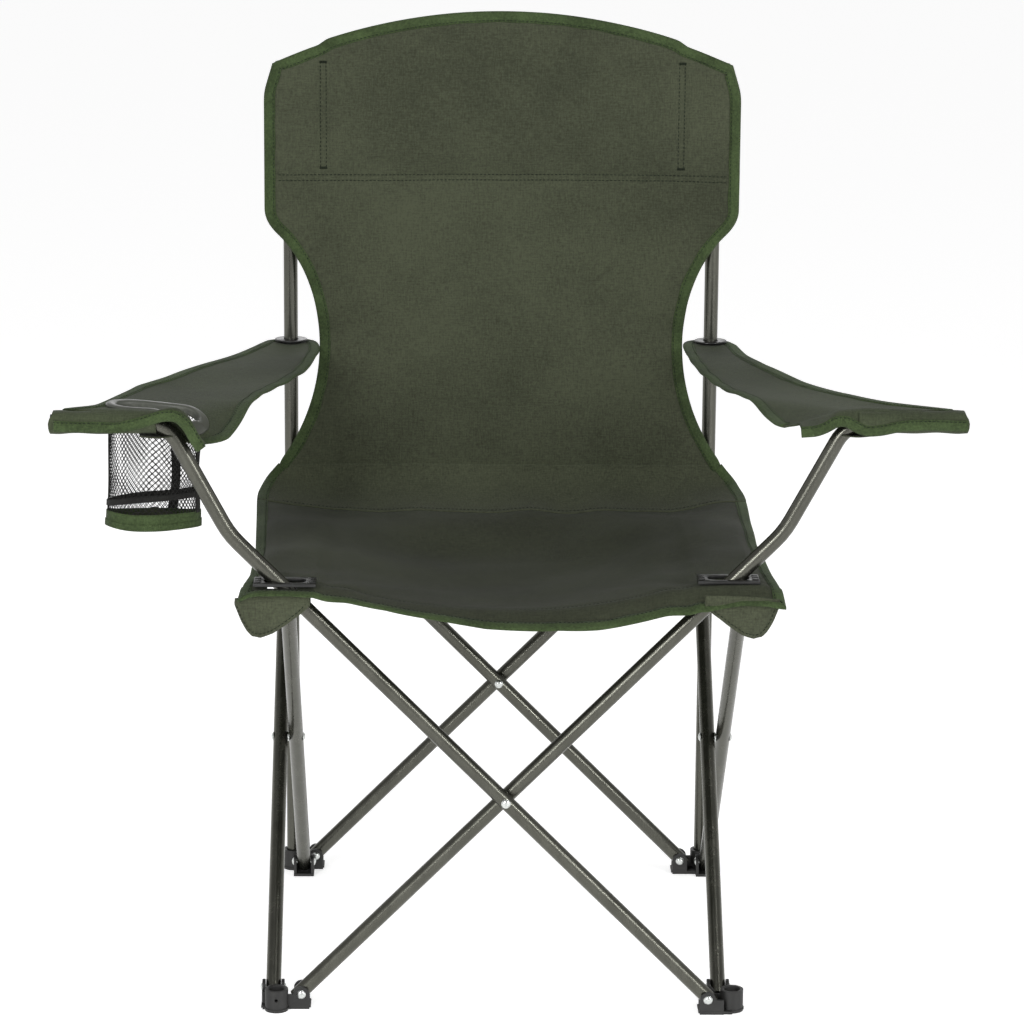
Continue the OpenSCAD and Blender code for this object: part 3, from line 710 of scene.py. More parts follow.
def spread_back(name, me, material, whole=False):
    """Splits a mesh of the back into the panel and the two wings that go with the posts."""
    pick = islands if whole else part_of
    if not whole:
        cut(me, [((SIDE_X, 0, 0), (1, 0, 0)), ((-SIDE_X, 0, 0), (1, 0, 0))])
        me.update()
    middle = link(name, pick(me, is_panel), material)
    left = link(name + "_left", pick(me, is_wing(-1)), material)
    right = link(name + "_right", pick(me, is_wing(1)), material)
    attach(middle, "rear_left_post")
    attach(left, "rear_left_post")
    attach(right, "rear_right_post")
    narrow(middle)
    return middle, left, right


def offset_path(edge, inward, lift):
    """A line inside an edge, raised off the face of the cloth."""
    path, inside, normal = edge
    return path + inside * inward + normal * lift


def edge_rows(edge):
    """The stitching of an edge tape, on both faces of the cloth."""
    lift = CLOTH / 2 + TAPE * 0.8
    front, behind = (offset_path(edge, TAPE_W * 0.82, way * lift) for way in (1, -1))
    return [stitches(front, edge[2]), stitches(behind, -edge[2])]


def make_back():
    p = back_grid()
    uv = p[:, :, [0, 2]]
    middle, left, right = spread_back("back_cloth_panel", cloth_mesh(p, uv), "back_cloth")
    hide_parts("back_panel")
    first = int(np.searchsorted(p[:, 0, 2], RISER_TOP - 0.007))
    sides = [tuple(a[first:] for a in edge_path(p, word)) for word in ("left", "right")]
    edge = u_path(sides[0], edge_path(p, "top"), flipped(sides[1]))
    spread_back("back_binding", binding(*edge), "green_binding")
    spread_back("back_stitches", join(edge_rows(edge) + back_seams()), "thread", whole=True)


def on_back(x, z):
    """Points on the face of the back, just proud of the cloth."""
    x, z = np.broadcast_arrays(np.asarray(x, float), np.asarray(z, float))
    return np.stack([x, back_depth(x, z) - CLOTH / 2 - 0.0001, z], -1)


def back_seams():
    out = []
    x = np.linspace(-HEAD_HALF + 0.013, HEAD_HALF - 0.013, 240)
    for z in (SEAM_Z - 0.003, SEAM_Z + 0.003):
        out.append(stitches(on_back(x, z + 0.0006 * ripple(x, 3, 3, 1, 3)), (0, -1, 0), fat=0.0005))
    z = np.linspace(0.781, 0.893, 60)
    for side in (-1, 1):
        for line in (POCKET_X - 0.002, POCKET_X + 0.004):
            out.append(stitches(on_back(side * line, z), (0, -1, 0), fat=0.0005))
        for end in (0.781, 0.893):
            tack = np.linspace(POCKET_X - 0.003, POCKET_X + 0.005, 12)
            for row in (-0.0008, 0.0, 0.0008):
                out.append(stitches(on_back(side * tack, end + row), (0, -1, 0), 0.0012, 0.0011, 0.0005))
    return out


def post_pocket(side):
    """The sleeve of cloth that wraps a post behind the back."""
    z = np.linspace(0.706, 0.893, 60)[:, None]
    turn = np.linspace(0, math.pi, 37)[None, :]
    reach = 0.0105 + 0.0008 * ripple(z, 51 + side, 4, 8, 20) * np.sin(turn) ** 2
    edge = np.clip(smooth_half_width(z) - 0.0035, POST.x + TUBE_R + 0.0018, HEAD_HALF - 0.003)
    wide = np.where(turn < math.pi / 2, edge - POST.x, POST.x - SIDE_X + 0.006)
    swell = np.abs(np.sin(turn)) ** 0.85
    x = POST.x + wide * np.cos(turn) * (1 - 0.35 * swell)
    y = BACK_Y + 0.002 + (POST.y + reach - BACK_Y - 0.002) * swell
    p = grid_of(side * x, y, z + 0 * turn)
    # the sleeve behind the back carries painted shade: the olive cloth darkened
    o = link("post_pocket_" + ("right" if side > 0 else "left"), cloth_mesh(p, p[:, :, [0, 2]], thick=THINNER),
             "shaded_under_cloth")
    body = "rear_right_post" if side > 0 else "rear_left_post"
    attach(o, body)
    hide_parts("back_sleeve_right" if side > 0 else "back_sleeve_left")
    return o


def head_rest():
    """Foam wadding under its own lining, behind the head section."""
    low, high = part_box("head_pad")
    cols, rows = 90, 50
    s = np.linspace(-1, 1, cols)[None, :]
    t = np.linspace(0, 1, rows)[:, None]
    x = s * (high.x - 0.004)
    top = arch(x) - 0.013
    z = low.z + (top - low.z) * t
    round_x = 1 - np.abs(s) ** 10
    round_z = 1 - np.abs(2 * t - 1) ** 8
    quilt = 0.75 + 0.25 * np.abs(np.sin(math.pi * (x / 0.1315 + 0.5)))
    thick = 0.0012 + 0.0085 * np.clip(round_x * round_z, 0, 1) ** 0.6 * quilt
    face = back_depth(x, z) + CLOTH / 2 + 0.0004
    rear = face + thick + 0.0004 * ripple(x + z, 61, 4, 6, 16)
    a, b = grid_of(x, rear, z), grid_of(x, face, z)
    me = shell_between(a, b, a[:, :, [0, 2]])
    # the lining carries painted shade: the olive cloth darkened
    o = link("head_rest_lining", me, "shaded_under_cloth")
    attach(o, "rear_left_post")
    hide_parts("head_pad")
    narrow(o)
    return o


# ---------------------------------------------------------------- the seat

HOLE = (0.0145, 0.0088)        # half size of the cut in the cloth under a slotted plate
PLATES = [(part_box("grommet_left")[0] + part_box("grommet_left")[1]) / 2,
          (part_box("grommet_right")[0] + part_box("grommet_right")[1]) / 2]
HOLE_X = [-0.2168, 0.2168]
SEAM_Y = 0.150                 # seam between the seat and the foot of the back
INNER_X = 0.2335


def seam_height(x):
    return np.interp(np.abs(x), [0, 0.18, 0.205, 0.235, 0.262], [0.4205, 0.4215, 0.4255, 0.4305, 0.433])


def seat_half(y):
    """Half widths to the left and right: the sides are drawn in, and the front corners flare."""
    left = np.interp(y, [-0.252, -0.215, -0.17, -0.084, 0.09, 0.15],
                     [0.2585, 0.2545, 0.250, 0.249, 0.256, 0.2585])
    right = np.interp(y, [-0.252, -0.208, -0.125, -0.038, 0.053, 0.15],
                      [0.2675, 0.2626, 0.258, 0.256, 0.259, 0.2605])
    return left, right


def seat_height(x, y):
    ax = np.abs(x)
    half = np.where(x > 0, seat_half(y)[1], seat_half(y)[0])
    z = seat_line(x) + 0.004 * step(0.178, 0.15, ax)
    bowl = np.clip(1 - (ax / 0.2) ** 2, 0, 1) * np.clip(1 - ((y + 0.03) / 0.19) ** 2, 0, 1)
    z = z - 0.016 * bowl
    z = z - 0.002 * hump(ax - FLAT_X, 0.02)
    front = step(SEAT_FRONT + 0.034, SEAT_FRONT, y)
    fall = np.interp(x, [-0.26, -0.25, -0.175, -0.117, -0.078, -0.021,
                         0.051, 0.088, 0.135, 0.192, 0.227, 0.268],
                     [0.010, 0.007, 0.005, 0.003, 0.006, 0.012, 0.012, 0.016, 0.018, 0.019, 0.0135, 0.014])
    z = z - fall * front ** 1.5
    z = z - 0.0014 * hump(y - SEAT_FRONT - 0.034, 0.004)
    z = z - 0.006 * step(half - 0.02, half, ax) * (1 - 0.5 * front)
    back = step(0.02, SEAM_Y, y)
    z = z * (1 - back) + seam_height(x) * back
    calm = np.ones_like(z)
    for c in PLATES:
        calm = calm * (1 - np.exp(-(((x - c.x) / 0.045) ** 2 + ((y - c.y) / 0.03) ** 2) ** 2))
    wave = 0.0020 * ripple(1.2 * x + 0.7 * y, 71, 4, 2, 6) + 0.0014 * ripple(y - 0.5 * x, 73, 4, 3, 9)
    z = z + calm * wave * step(SEAM_Y, SEAM_Y - 0.03, y)
    z = z + 0.0018 * np.exp(-(SEAM_Y - y) / 0.03) * ripple(x, 5, 5, 6, 16)
    pull = hump(ax - 0.17, 0.06) * hump(y + 0.16, 0.07)
    z = z + 0.0022 * pull * ripple(y + 0.8 * ax, 77, 4, 9, 20)
    return np.where((ax > 0.18) & (y < -0.19), np.minimum(z, SEAT_Z - 0.0007), z)


def with_lines(values, extra):
    """A rising list of grid lines that includes the extra ones, without near doubles."""
    kept = [v for v in values if min(abs(v - e) for e in extra) > 0.0015]
    return np.array(sorted(kept + list(extra)))


def seat_columns(left, right):
    """Grid lines across the seat; only those outside the plates follow the drawn-in sides."""
    holes = [h + k * HOLE[0] for h in HOLE_X for k in (-1, 1)]
    fixed = with_lines(np.linspace(-INNER_X, INNER_X, 121), holes + [-INNER_X, INNER_X])
    u = np.linspace(0, 1, 9)[1:]
    left, right = np.asarray(left)[:, None], np.asarray(right)[:, None]
    middle = np.broadcast_to(fixed, (len(left), len(fixed)))
    outer = [-(INNER_X + (left - INNER_X) * u[::-1]), middle, INNER_X + (right - INNER_X) * u]
    return np.concatenate(outer, 1)


def seat_grid():
    ys = [c.y + k * HOLE[1] for c in PLATES for k in (-1, 1)]
    y = with_lines(np.linspace(SEAT_FRONT, SEAM_Y, 105), ys + [SEAT_FRONT, SEAM_Y])
    x = seat_columns(*seat_half(y))
    gy = np.broadcast_to(y[:, None], x.shape)
    p = np.stack([x, gy, seat_height(x, gy)], 2)
    cx, cy = (x[:-1, :-1] + x[1:, 1:]) / 2, (gy[:-1, :-1] + gy[1:, 1:]) / 2
    keep = np.ones(cx.shape, bool)
    for c, hx in zip(PLATES, HOLE_X):
        keep &= ~((np.abs(cx - hx) < HOLE[0]) & (np.abs(cy - c.y) < HOLE[1]))
    return p, keep


def bezier(a, b, c, d, t):
    return a * (1 - t) ** 3 + 3 * b * t * (1 - t) ** 2 + 3 * c * t * t * (1 - t) + d * t ** 3


def riser_grid():
    """The foot of the back cloth, which curves forward to its seam with the seat."""
    t = np.linspace(0, 1, 34)
    z = bezier(0.4325, 0.4355, 0.440, RISER_TOP, t)
    left, right = seat_half(SEAM_Y)
    blend, up = step(0.0, 0.5, t), smooth_half_width(z)
    x = seat_columns(left + (up - left) * blend, right + (up - right) * blend)
    t = t[:, None]
    seam = seat_height(x, np.full(x.shape, SEAM_Y))
    y_top = back_depth(x, RISER_TOP + 0 * x) - 0.0004
    y = bezier(SEAM_Y - 0.0012, 0.180, y_top, y_top, t)
    z = bezier(seam + 0.0012, seam + 0.0035, 0.440, RISER_TOP, t)
    flute = 0.0028 * np.sin(math.pi * np.clip(t, 0, 1)) * ripple(x, 5, 5, 6, 16)
    return np.stack([x, y + 0.6 * flute, z - 0.6 * flute], 2)


def split_seat(name, me, material, whole=False):
    """Front and rear part of the seat, which fold down between the posts."""
    ahead = lambda c: c.y < SPLIT_Y
    behind = lambda c: c.y >= SPLIT_Y
    pick = islands if whole else part_of
    if not whole:
        cut(me, [((0, SPLIT_Y, 0), (0, 1, 0))])
        me.update()
    front = link(name + "_front", pick(me, ahead), material)
    rear = link(name + "_rear", pick(me, behind), material)
    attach(front, "seat_front")
    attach(rear, "seat_rear")
    for o in (front, rear):
        narrow(o)
    return front, rear


def make_seat():
    p, keep = seat_grid()
    # the seat cloth carries painted shade: the olive cloth darkened
    front, rear = split_seat("seat_cloth", cloth_mesh(p, p[:, :, [0, 1]], keep), "seat_cloth")
    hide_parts("seat_front")
    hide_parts("seat_rear")
    q = riser_grid()
    foot = cloth_mesh(q, grid_of(q[:, :, 0], q[:, :, 1] + q[:, :, 2]))
    # the foot of the back carries painted light: the olive cloth lightened
    riser = link("back_cloth_foot", foot, "lit_riser_cloth")
    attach(riser, "seat_rear")
    narrow(riser)
    sides = [[np.concatenate([a, b[2:]]) for a, b in zip(edge_path(p, word), edge_path(q, word))]
             for word in ("left", "right")]
    edge = u_path(flipped(sides[0]), edge_path(p, "bottom"), sides[1])
    split_seat("seat_binding", binding(*edge, seed=4), "green_binding")
    lines = edge_rows(edge)
    x = np.linspace(-SEAT_HALF + 0.014, SEAT_HALF - 0.014, 300)
    clear = np.ones_like(x, bool)
    for c in PLATES:
        clear &= np.abs(x - c.x) > 0.033
    for run in np.split(x, np.nonzero(np.diff(clear.astype(int)))[0] + 1):
        if len(run) > 4 and min(abs(run.mean() - c.x) for c in PLATES) > 0.02:
            y = np.full_like(run, SEAT_FRONT + 0.034)
            lines.append(stitches(np.stack([run, y, seat_height(run, y) + CLOTH / 2], 1), (0, 0, 1)))
    row = q[2, 8:-8] + np.array([0, 0, CLOTH / 2])
    lines.append(stitches(row, (0, -0.2, 1)))
    split_seat("seat_stitches", join(lines), "thread", whole=True)


def seat_pocket(side):
    """The corner pocket that hangs in front of a bracket, with a row of stitches along its lower edge."""
    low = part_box("seat_pocket_right")[0]
    s = np.linspace(0, 1, 45)[None, :]
    t = np.linspace(0, 1, 30)[:, None]
    x = 0.190 + 0.072 * s
    hem = np.interp(x, [0.190, 0.200, 0.213, 0.226, 0.238, 0.246, 0.251, 0.256, 0.262],
                    [0.4175, 0.409, 0.399, 0.390, 0.3848, 0.3872, 0.393, 0.402, 0.4175])
    top = 0.4288 - 0.004 * s ** 3
    z = top - (top - hem) * t
    y = low.y + 0.0015 - 0.005 * np.sin(math.pi * t) * np.sin(math.pi * s) + 0.004 * t * s
    y = y + 0.0016 * ripple(s * 1.3 + t * 0.4, 81 + side, 4, 1, 3) * t
    y = y + 0.0022 * hump(s - 0.45 - 0.25 * t, 0.07) * t
    p = grid_of(side * x, y, z)
    word = "right" if side > 0 else "left"
    me = cloth_mesh(p, p[:, :, [0, 2]], thick=THIN)
    # the pocket carries painted light: the olive cloth lightened
    o = link("corner_pocket_" + word, me, "lit_pocket_cloth")
    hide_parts("seat_pocket_" + word)
    path, inside, normal = edge_path(p, "top")
    row = stitches(path + inside * 0.004 - normal * side * 0.0009, -side * normal, fat=0.0004)
    seam = link("corner_pocket_stitches_" + word, row, "thread")
    for q in (o, seam):
        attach(q, "hub_" + word)


# ---------------------------------------------------------------- the armrests

def arm_sides(y, word):
    """Inner and outer edge of an armrest at a distance along Y; the one with the cup is wider."""
    if word == "left":
        return (np.interp(y, [-0.216, -0.19, -0.14, -0.051, 0.0, 0.05, 0.099, 0.18, 0.205, 0.236, 0.248, 0.252],
                          [0.300, 0.272, 0.258, 0.238, 0.225, 0.212, 0.202, 0.195, 0.195, 0.2, 0.21, 0.22]),
                np.interp(y, [-0.216, -0.206, -0.19, -0.145, -0.053, -0.005, 0.085, 0.152, 0.218, 0.236, 0.247, 0.252],
                          [0.426, 0.420, 0.40, 0.388, 0.367, 0.343, 0.310, 0.283, 0.257, 0.252, 0.240, 0.228]))
    return (np.interp(y, [-0.207, -0.197, -0.13, -0.037, 0.068, 0.13, 0.215, 0.238, 0.248, 0.252],
                      [0.275, 0.262, 0.245, 0.221, 0.206, 0.199, 0.196, 0.2, 0.21, 0.22]),
            np.interp(y, [-0.2, -0.19, -0.15, -0.125, -0.085, -0.015, 0.04, 0.085, 0.155, 0.215, 0.236, 0.248, 0.252],
                      [0.430, 0.422, 0.371, 0.353, 0.332, 0.303, 0.286, 0.272, 0.259, 0.252, 0.247, 0.236, 0.228]))


def arm_height(x, y, word):
    """Height of an armrest: sloping to the post, slung between its ends, drooping inside."""
    inner, outer = arm_sides(y, word)
    z = ARM_TOP - (y + ARMS[word]["plane"] - 0.0125) * math.tan(ARM_SLOPE) - CLOTH / 2 - 0.0006
    s = np.clip((x - inner) / (outer - inner), 0, 1)
    lengthwise = np.clip(1 - (y / 0.215) ** 2, 0, 1) ** 0.8
    z = z - 0.0085 * lengthwise * (0.45 + 0.55 * np.sin(math.pi * s)) - 0.0045 * lengthwise * (1 - s) ** 2
    z = z - 0.0022 * step(-0.10, -0.2, y)
    if word == "left":
        z = z - 0.030 * step(0.42, 0.0, s) * step(-0.10, -0.216, y)
        z = z - 0.006 * step(1, 0.1, s) * hump(y + 0.15, 0.07)
    else:
        z = z - 0.015 * step(0.45, 0.0, s) * step(-0.10, -0.2, y)
    z = z + 0.0012 * ripple(y + 0.8 * x, 91, 4, 3, 9) * lengthwise
    z = z + 0.0008 * ripple(y, 93, 4, 8, 18) * step(0.3, 0.0, s) * lengthwise
    return z


def arm_grid(word, front):
    rows, cols = 130, 47
    tip = 0.225 + 0.027 * np.sin(np.linspace(0.06, 1, 26) * math.pi / 2)
    y = np.concatenate([np.linspace(front, 0.225, rows - 26), tip])[:, None]
    s = np.linspace(0, 1, cols)[None, :]
    inner, outer = arm_sides(y, word)
    x = inner + (outer - inner) * s
    for _ in range(3):
        x[1:-1] = (x[:-2] + 2 * x[1:-1] + x[2:]) / 4
    return grid_of(x, y, arm_height(x, y + 0 * x, word))


def mirrored(p, side):
    q = p.copy()
    q[..., 0] *= side
    return q[:, ::side] if q.ndim == 3 else q


def punch(o, tool):
    """Cuts a hole with another object, which is then thrown away."""
    mod = o.modifiers.new("hole", "BOOLEAN")
    mod.operation = "DIFFERENCE"
    mod.object = tool
    mod.solver = "EXACT"
    bake(o)
    bpy.data.objects.remove(tool)


def prism(outline, low, high):
    n = len(outline)
    verts = [(x, y, low) for x, y in outline] + [(x, y, high) for x, y in outline]
    faces = [tuple(range(n))[::-1], tuple(range(n, 2 * n))]
    faces += [(i, (i + 1) % n, (i + 1) % n + n, i + n) for i in range(n)]
    o = bpy.data.objects.new("tool", tidy(mesh_of(verts, faces)))
    bpy.context.scene.collection.objects.link(o)
    return o


def circle_points(cx, cy, r, n=48):
    turns = [2 * math.pi * i / n for i in range(n)]
    return [(cx + r * math.cos(w), cy + r * math.sin(w)) for w in turns]


def oval(cx, cy, a, b, n=72, power=2.4):
    """A soft-cornered oval."""
    out = []
    for i in range(n):
        w = 2 * math.pi * i / n
        c, s = math.cos(w), math.sin(w)
        c, s = (math.copysign(abs(v) ** (2 / power), v) for v in (c, s))
        out.append((cx + a * c, cy + b * s))
    return out


ARM_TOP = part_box("arm_sleeve_right")[1].z
RING_LOW, RING_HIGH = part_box("cup_ring")
CUP = (RING_LOW + RING_HIGH) / 2
CUP_A, CUP_B = (RING_HIGH.x - RING_LOW.x) / 2, (RING_HIGH.y - RING_LOW.y) / 2
ARMS = {
    "left": dict(side=-1, plane=0.2295, body="arm_left", carrier="front_outer", end=0.4385, area=0.048,
                 edge=[(0.296, 0.5725), (0.302, 0.581), (0.309, 0.596), (0.318, 0.6035), (0.330, 0.6025), (0.350, 0.5955),
                       (0.372, 0.5915), (0.400, 0.5915), (0.433, 0.5925)]),
    "right": dict(side=1, plane=0.2135, body="arm_right", carrier="front_inner", end=0.443, area=0.039,
                  edge=[(0.281, 0.5860), (0.296, 0.5870), (0.307, 0.5915), (0.316, 0.5975), (0.324, 0.5970), (0.333, 0.5905),
                        (0.344, 0.5865), (0.358, 0.5880), (0.376, 0.5925), (0.400, 0.5935), (0.441, 0.5925)]),
}
ARM_SLOPE = math.radians(1.9)  # an armrest falls this much towards its post


def make_arm(word):
    a = ARMS[word]
    side, plane = a["side"], a["plane"]
    front = 0.0137 - plane
    p = mirrored(arm_grid(word, front), side)
    o = link("arm_cloth_" + word, cloth_mesh(p, p[:, :, [0, 1]]), "arm_cloth")
    punch(o, prism(circle_points(side * POST.x, POST.y, 0.0126), 0.5, 0.7))
    if word == "left":
        punch(o, prism(oval(CUP.x, CUP.y, CUP_A - 0.009, CUP_B - 0.009), 0.5, 0.7))
    o.data.polygons.foreach_set("use_smooth", [True] * len(o.data.polygons))
    o.data.set_sharp_from_angle(angle=math.radians(50))
    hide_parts("arm_pad_" + word)
    inner, outer = ("right", "left") if side < 0 else ("left", "right")
    edges = u_path(edge_path(p, inner), edge_path(p, "top")[:3] if side > 0 else flipped(edge_path(p, "top")),
                   flipped(edge_path(p, outer)))
    tape = link("arm_binding_" + word, binding(*edges, seed=95 + side), "green_binding")
    rows = link("arm_stitches_" + word, join(edge_rows(edges)), "thread")
    for q in (o, tape, rows):
        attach(q, a["body"])
        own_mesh(q)
    make_sleeve(word)


def make_sleeve(word):
    """The sleeve on the stub: a flattened tube of cloth with a stitched end, and its bound front edge."""
    a = ARMS[word]
    side, plane, last = a["side"], a["plane"], a["end"]
    low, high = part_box("arm_sleeve_" + word)
    middle = (low.z + high.z) / 2
    r = 0.0118
    xs = np.linspace(0.336, last, 46)
    turn = np.linspace(0, 2 * math.pi, 41)[None, :]
    x = xs[:, None]
    end = step(last - 0.020, last, x)
    mouth = step(0.356, 0.336, x)
    ry = r * (1.0 - 0.22 * end) + 0.0006 * ripple(x, 101, 4, 12, 30)
    rz = 0.0102 - 0.0008 * mouth - 0.0006 * end + 0.0005 * ripple(x, 103, 4, 14, 34)
    square = 2.0 + 2.6 * end
    cy, cz = np.cos(turn), np.sin(turn)
    y = -plane + ry * np.sign(cy) * np.abs(cy) ** (2 / square)
    z = middle + rz * np.sign(cz) * np.abs(cz) ** (2 / square)
    chamfer = np.where(cz > 0, 0.004 * (1 - (1 - np.abs(cz)) ** 2), 0.002 * np.abs(cz)) * end
    p = grid_of(side * (x - chamfer), y, z)
    uv = grid_of(x, turn * r)
    shell = link("arm_sleeve_cloth_" + word, cloth_mesh(p, uv, thick=THIN), "arm_cloth")
    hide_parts("arm_sleeve_" + word)
    # closed outer end: a crimped patch
    ring = p[-1][:-1]
    core = ring.mean(0)
    out = np.array([side, 0, 0])
    verts = np.concatenate([ring, core + (ring - core) * 0.55 + out * 0.0012, [core + out * 0.0016]])
    n = len(ring)
    faces = [(i, (i + 1) % n, n + (i + 1) % n, n + i) for i in range(n)]
    faces += [(n + i, n + (i + 1) % n, 2 * n) for i in range(n)]
    patch = link("arm_sleeve_end_" + word, mesh_of(verts, faces, verts[:, [1, 2]]), "arm_cloth")
    # bound front edge: from the drooping corner, over the bend, and along the sleeve
    points = np.array(a["edge"])
    bx = np.linspace(points[0, 0], points[-1, 0], 110)
    bz = np.interp(bx, points[:, 0], points[:, 1])
    for _ in range(10):
        bz[1:-1] = (bz[:-2] + 2 * bz[1:-1] + bz[2:]) / 4
    bz = bz - 0.005 + 0.0007 * ripple(bx, 107, 4, 8, 20)
    by = -plane - r - 0.0014 + 0.0009 * ripple(bx, 108, 3, 6, 14)
    edge = np.stack([side * bx, by, bz], 1)
    along = frames_along(edge)
    up = np.broadcast_to(np.array([0, 0.12, 1.0]), edge.shape)
    inward = unit(up - (up * along).sum(1, keepdims=True) * along)
    outward = unit(np.cross(along, inward)) * side
    me = binding(edge, inward, outward, width=0.0095, seed=109)
    tape = link("arm_front_tape_" + word, me, "green_binding")
    rows = stitches(edge + inward * 0.0078 + outward * (CLOTH / 2 + TAPE), outward)
    seam = link("arm_front_stitches_" + word, rows, "thread")
    flap(word, edge, inward)
    # the turned-in end of the sleeve, just under the bend
    tx = np.linspace(0.320, 0.352, 16)[None, :]
    ty = np.linspace(-1, 1, 9)[:, None]
    dip = 0.0035 * np.sin(math.pi * np.clip((tx - 0.316) / 0.040, 0, 1))
    q = grid_of(side * tx, -plane + 0.010 * ty, 0.5822 - dip * (1 - 0.5 * ty ** 2))[:, ::side]
    me = cloth_mesh(q, q[:, :, [0, 1]], thick=THINNER)
    # the turned-in end carries painted shade: the olive cloth darkened
    tab = link("arm_sleeve_mouth_" + word, me, "shaded_under_cloth")
    for q in (shell, patch, tape, seam, tab):
        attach(q, a["carrier"])


def flap(word, edge, inward):
    """The cloth between the bound front edge and the armrest, over the bend of the tube."""
    a = ARMS[word]
    side, plane = a["side"], a["plane"]
    t = np.linspace(0, 1, 16)[:, None]
    n = 60
    s = np.linspace(0, len(edge) - 1, n)
    line = edge + inward * 0.007
    pick = np.stack([np.interp(s, np.arange(len(edge)), line[:, k]) for k in range(3)], 1)
    pick = pick[np.abs(pick[:, 0]) < 0.40]
    n = len(pick)
    ax = np.abs(pick[:, 0])
    back_y = -plane + 0.0185
    rear = np.stack([pick[:, 0], np.full(n, back_y), arm_height(ax, np.full(n, back_y), word) + 0.0004], 1)
    over = step(0.302, 0.322, ax)
    crown = np.maximum(pick[:, 2] + 0.0012, (pick[:, 2] + rear[:, 2]) / 2 * (1 - over) + 0.6044 * over)
    top = np.stack([pick[:, 0], np.full(n, -plane), crown], 1)
    t = t[:, :, None]
    p = (1 - t) ** 2 * pick + 2 * t * (1 - t) * (2 * top - 0.5 * pick - 0.5 * rear) + t ** 2 * rear
    p = p[:, ::side]
    o = link("arm_flap_" + word, cloth_mesh(p, p[:, :, [0, 1]], thick=THINNER), "arm_cloth")
    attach(o, a["carrier"])


# ---------------------------------------------------------------- the cup holder

NET_TURN = 2 * math.pi * 0.78 / 0.25   # how fast a slanting thread goes round the bag
BAG_LOW, BAG_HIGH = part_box("cup_bag")
BASE_LOW, BASE_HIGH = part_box("cup_base")
BAG_A, BAG_B = (BAG_HIGH.x - BAG_LOW.x) / 2, (BAG_HIGH.y - BAG_LOW.y) / 2


def cup_droop(x, y):
    """How far the ring follows the drooping armrest."""
    return arm_height(np.abs(x), y, "left") - (ARM_TOP - 0.004)


def bag_point(turn, z):
    """A point on the hanging bag, which is pressed flat and pulled askew as nets are."""
    t = np.clip((z - BASE_LOW.z) / (BAG_HIGH.z - BASE_LOW.z), 0, 1)
    pinch = 1 - 0.035 * np.sin(math.pi * t) + 0.02 * ripple(turn / (2 * math.pi) + 0.6 * t, 111, 3, 1, 3)
    c, s = np.cos(turn), np.sin(turn)
    a = (BAG_A + 0.0022) * pinch
    b = BAG_B * pinch * (0.5 + 0.5 * step(0.0, 0.8, t))
    x = CUP.x - 0.0025 + a * np.sign(c) * np.abs(c) ** (2 / 2.3) + 0.003 * (t - 1)
    y = CUP.y + b * np.sign(s) * np.abs(s) ** (2 / 2.3)
    drop = cup_droop(x, y) * step(0.1, 1.0, t) - 0.0165 * step(1.0, 0.0, t)
    drop = drop - 0.003 * (1 - np.cos(turn) ** 2) * step(0.3, 0.0, t)
    return grid_of(x, y, z + drop + 0.0015 * ripple(turn / 3, 113, 3, 1, 2) * (1 - t))


def strand(path, r, ring=5):
    """Rings of points round a thread."""
    t = frames_along(path)
    up = np.array([0.0, 0.0, 1.0])
    side = unit(np.cross(t, up) + 1e-9)
    other = unit(np.cross(side, t))
    turns = np.linspace(0, 2 * math.pi, ring, endpoint=False)
    cos, sin = np.cos(turns)[None, :, None], np.sin(turns)[None, :, None]
    return path[:, None] + r * (cos * side[:, None] + sin * other[:, None])


def make_net():
    """Two families of slanting threads, pressed flat against each other."""
    low, high = BAG_LOW.z - 0.002, BAG_HIGH.z - 0.002
    count, steps = 60, 30
    z = np.linspace(low, high, steps)
    verts, faces = [], []
    for way in (-1, 1):
        for k in range(count):
            turn = 2 * math.pi * k / count + way * (z - low) * NET_TURN
            p = bag_point(turn, z)
            weave = way * 0.00022 * np.sin(np.arange(steps) * math.pi)
            rings = strand(p + weave[:, None], 0.00034, 4)
            base = len(verts)
            verts.extend(rings.reshape(-1, 3))
            faces += ring_quads(base, steps, 4)
            faces.append((base + 3, base + 2, base + 1, base))
            last = base + (steps - 1) * 4
            faces.append((last, last + 1, last + 2, last + 3))
    o = link("cup_net", mesh_of(verts, faces, [(v[0], v[2]) for v in verts]), "mesh")
    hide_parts("cup_bag")
    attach(o, "cup_holder")


def tape_ring(name, low, high, out, material, sag=0.0, seed=1):
    turn = np.linspace(0, 2 * math.pi, 97)[None, :]
    t = np.linspace(0, 1, 8)[:, None]
    shift = sag * (np.cos(turn) + 0.5 * ripple(turn / (2 * math.pi), seed, 3, 1, 3))
    p = bag_point(turn + 0 * t, low + (high - low) * t + shift)
    center = np.array([CUP.x, CUP.y, 0])
    away = p - center
    away[..., 2] = 0
    p = p + unit(away) * out
    uv = grid_of(turn * 0.04, t * (high - low))
    o = link(name, cloth_mesh(p, uv, thick=THINNER), material)
    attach(o, "cup_holder")
    return o


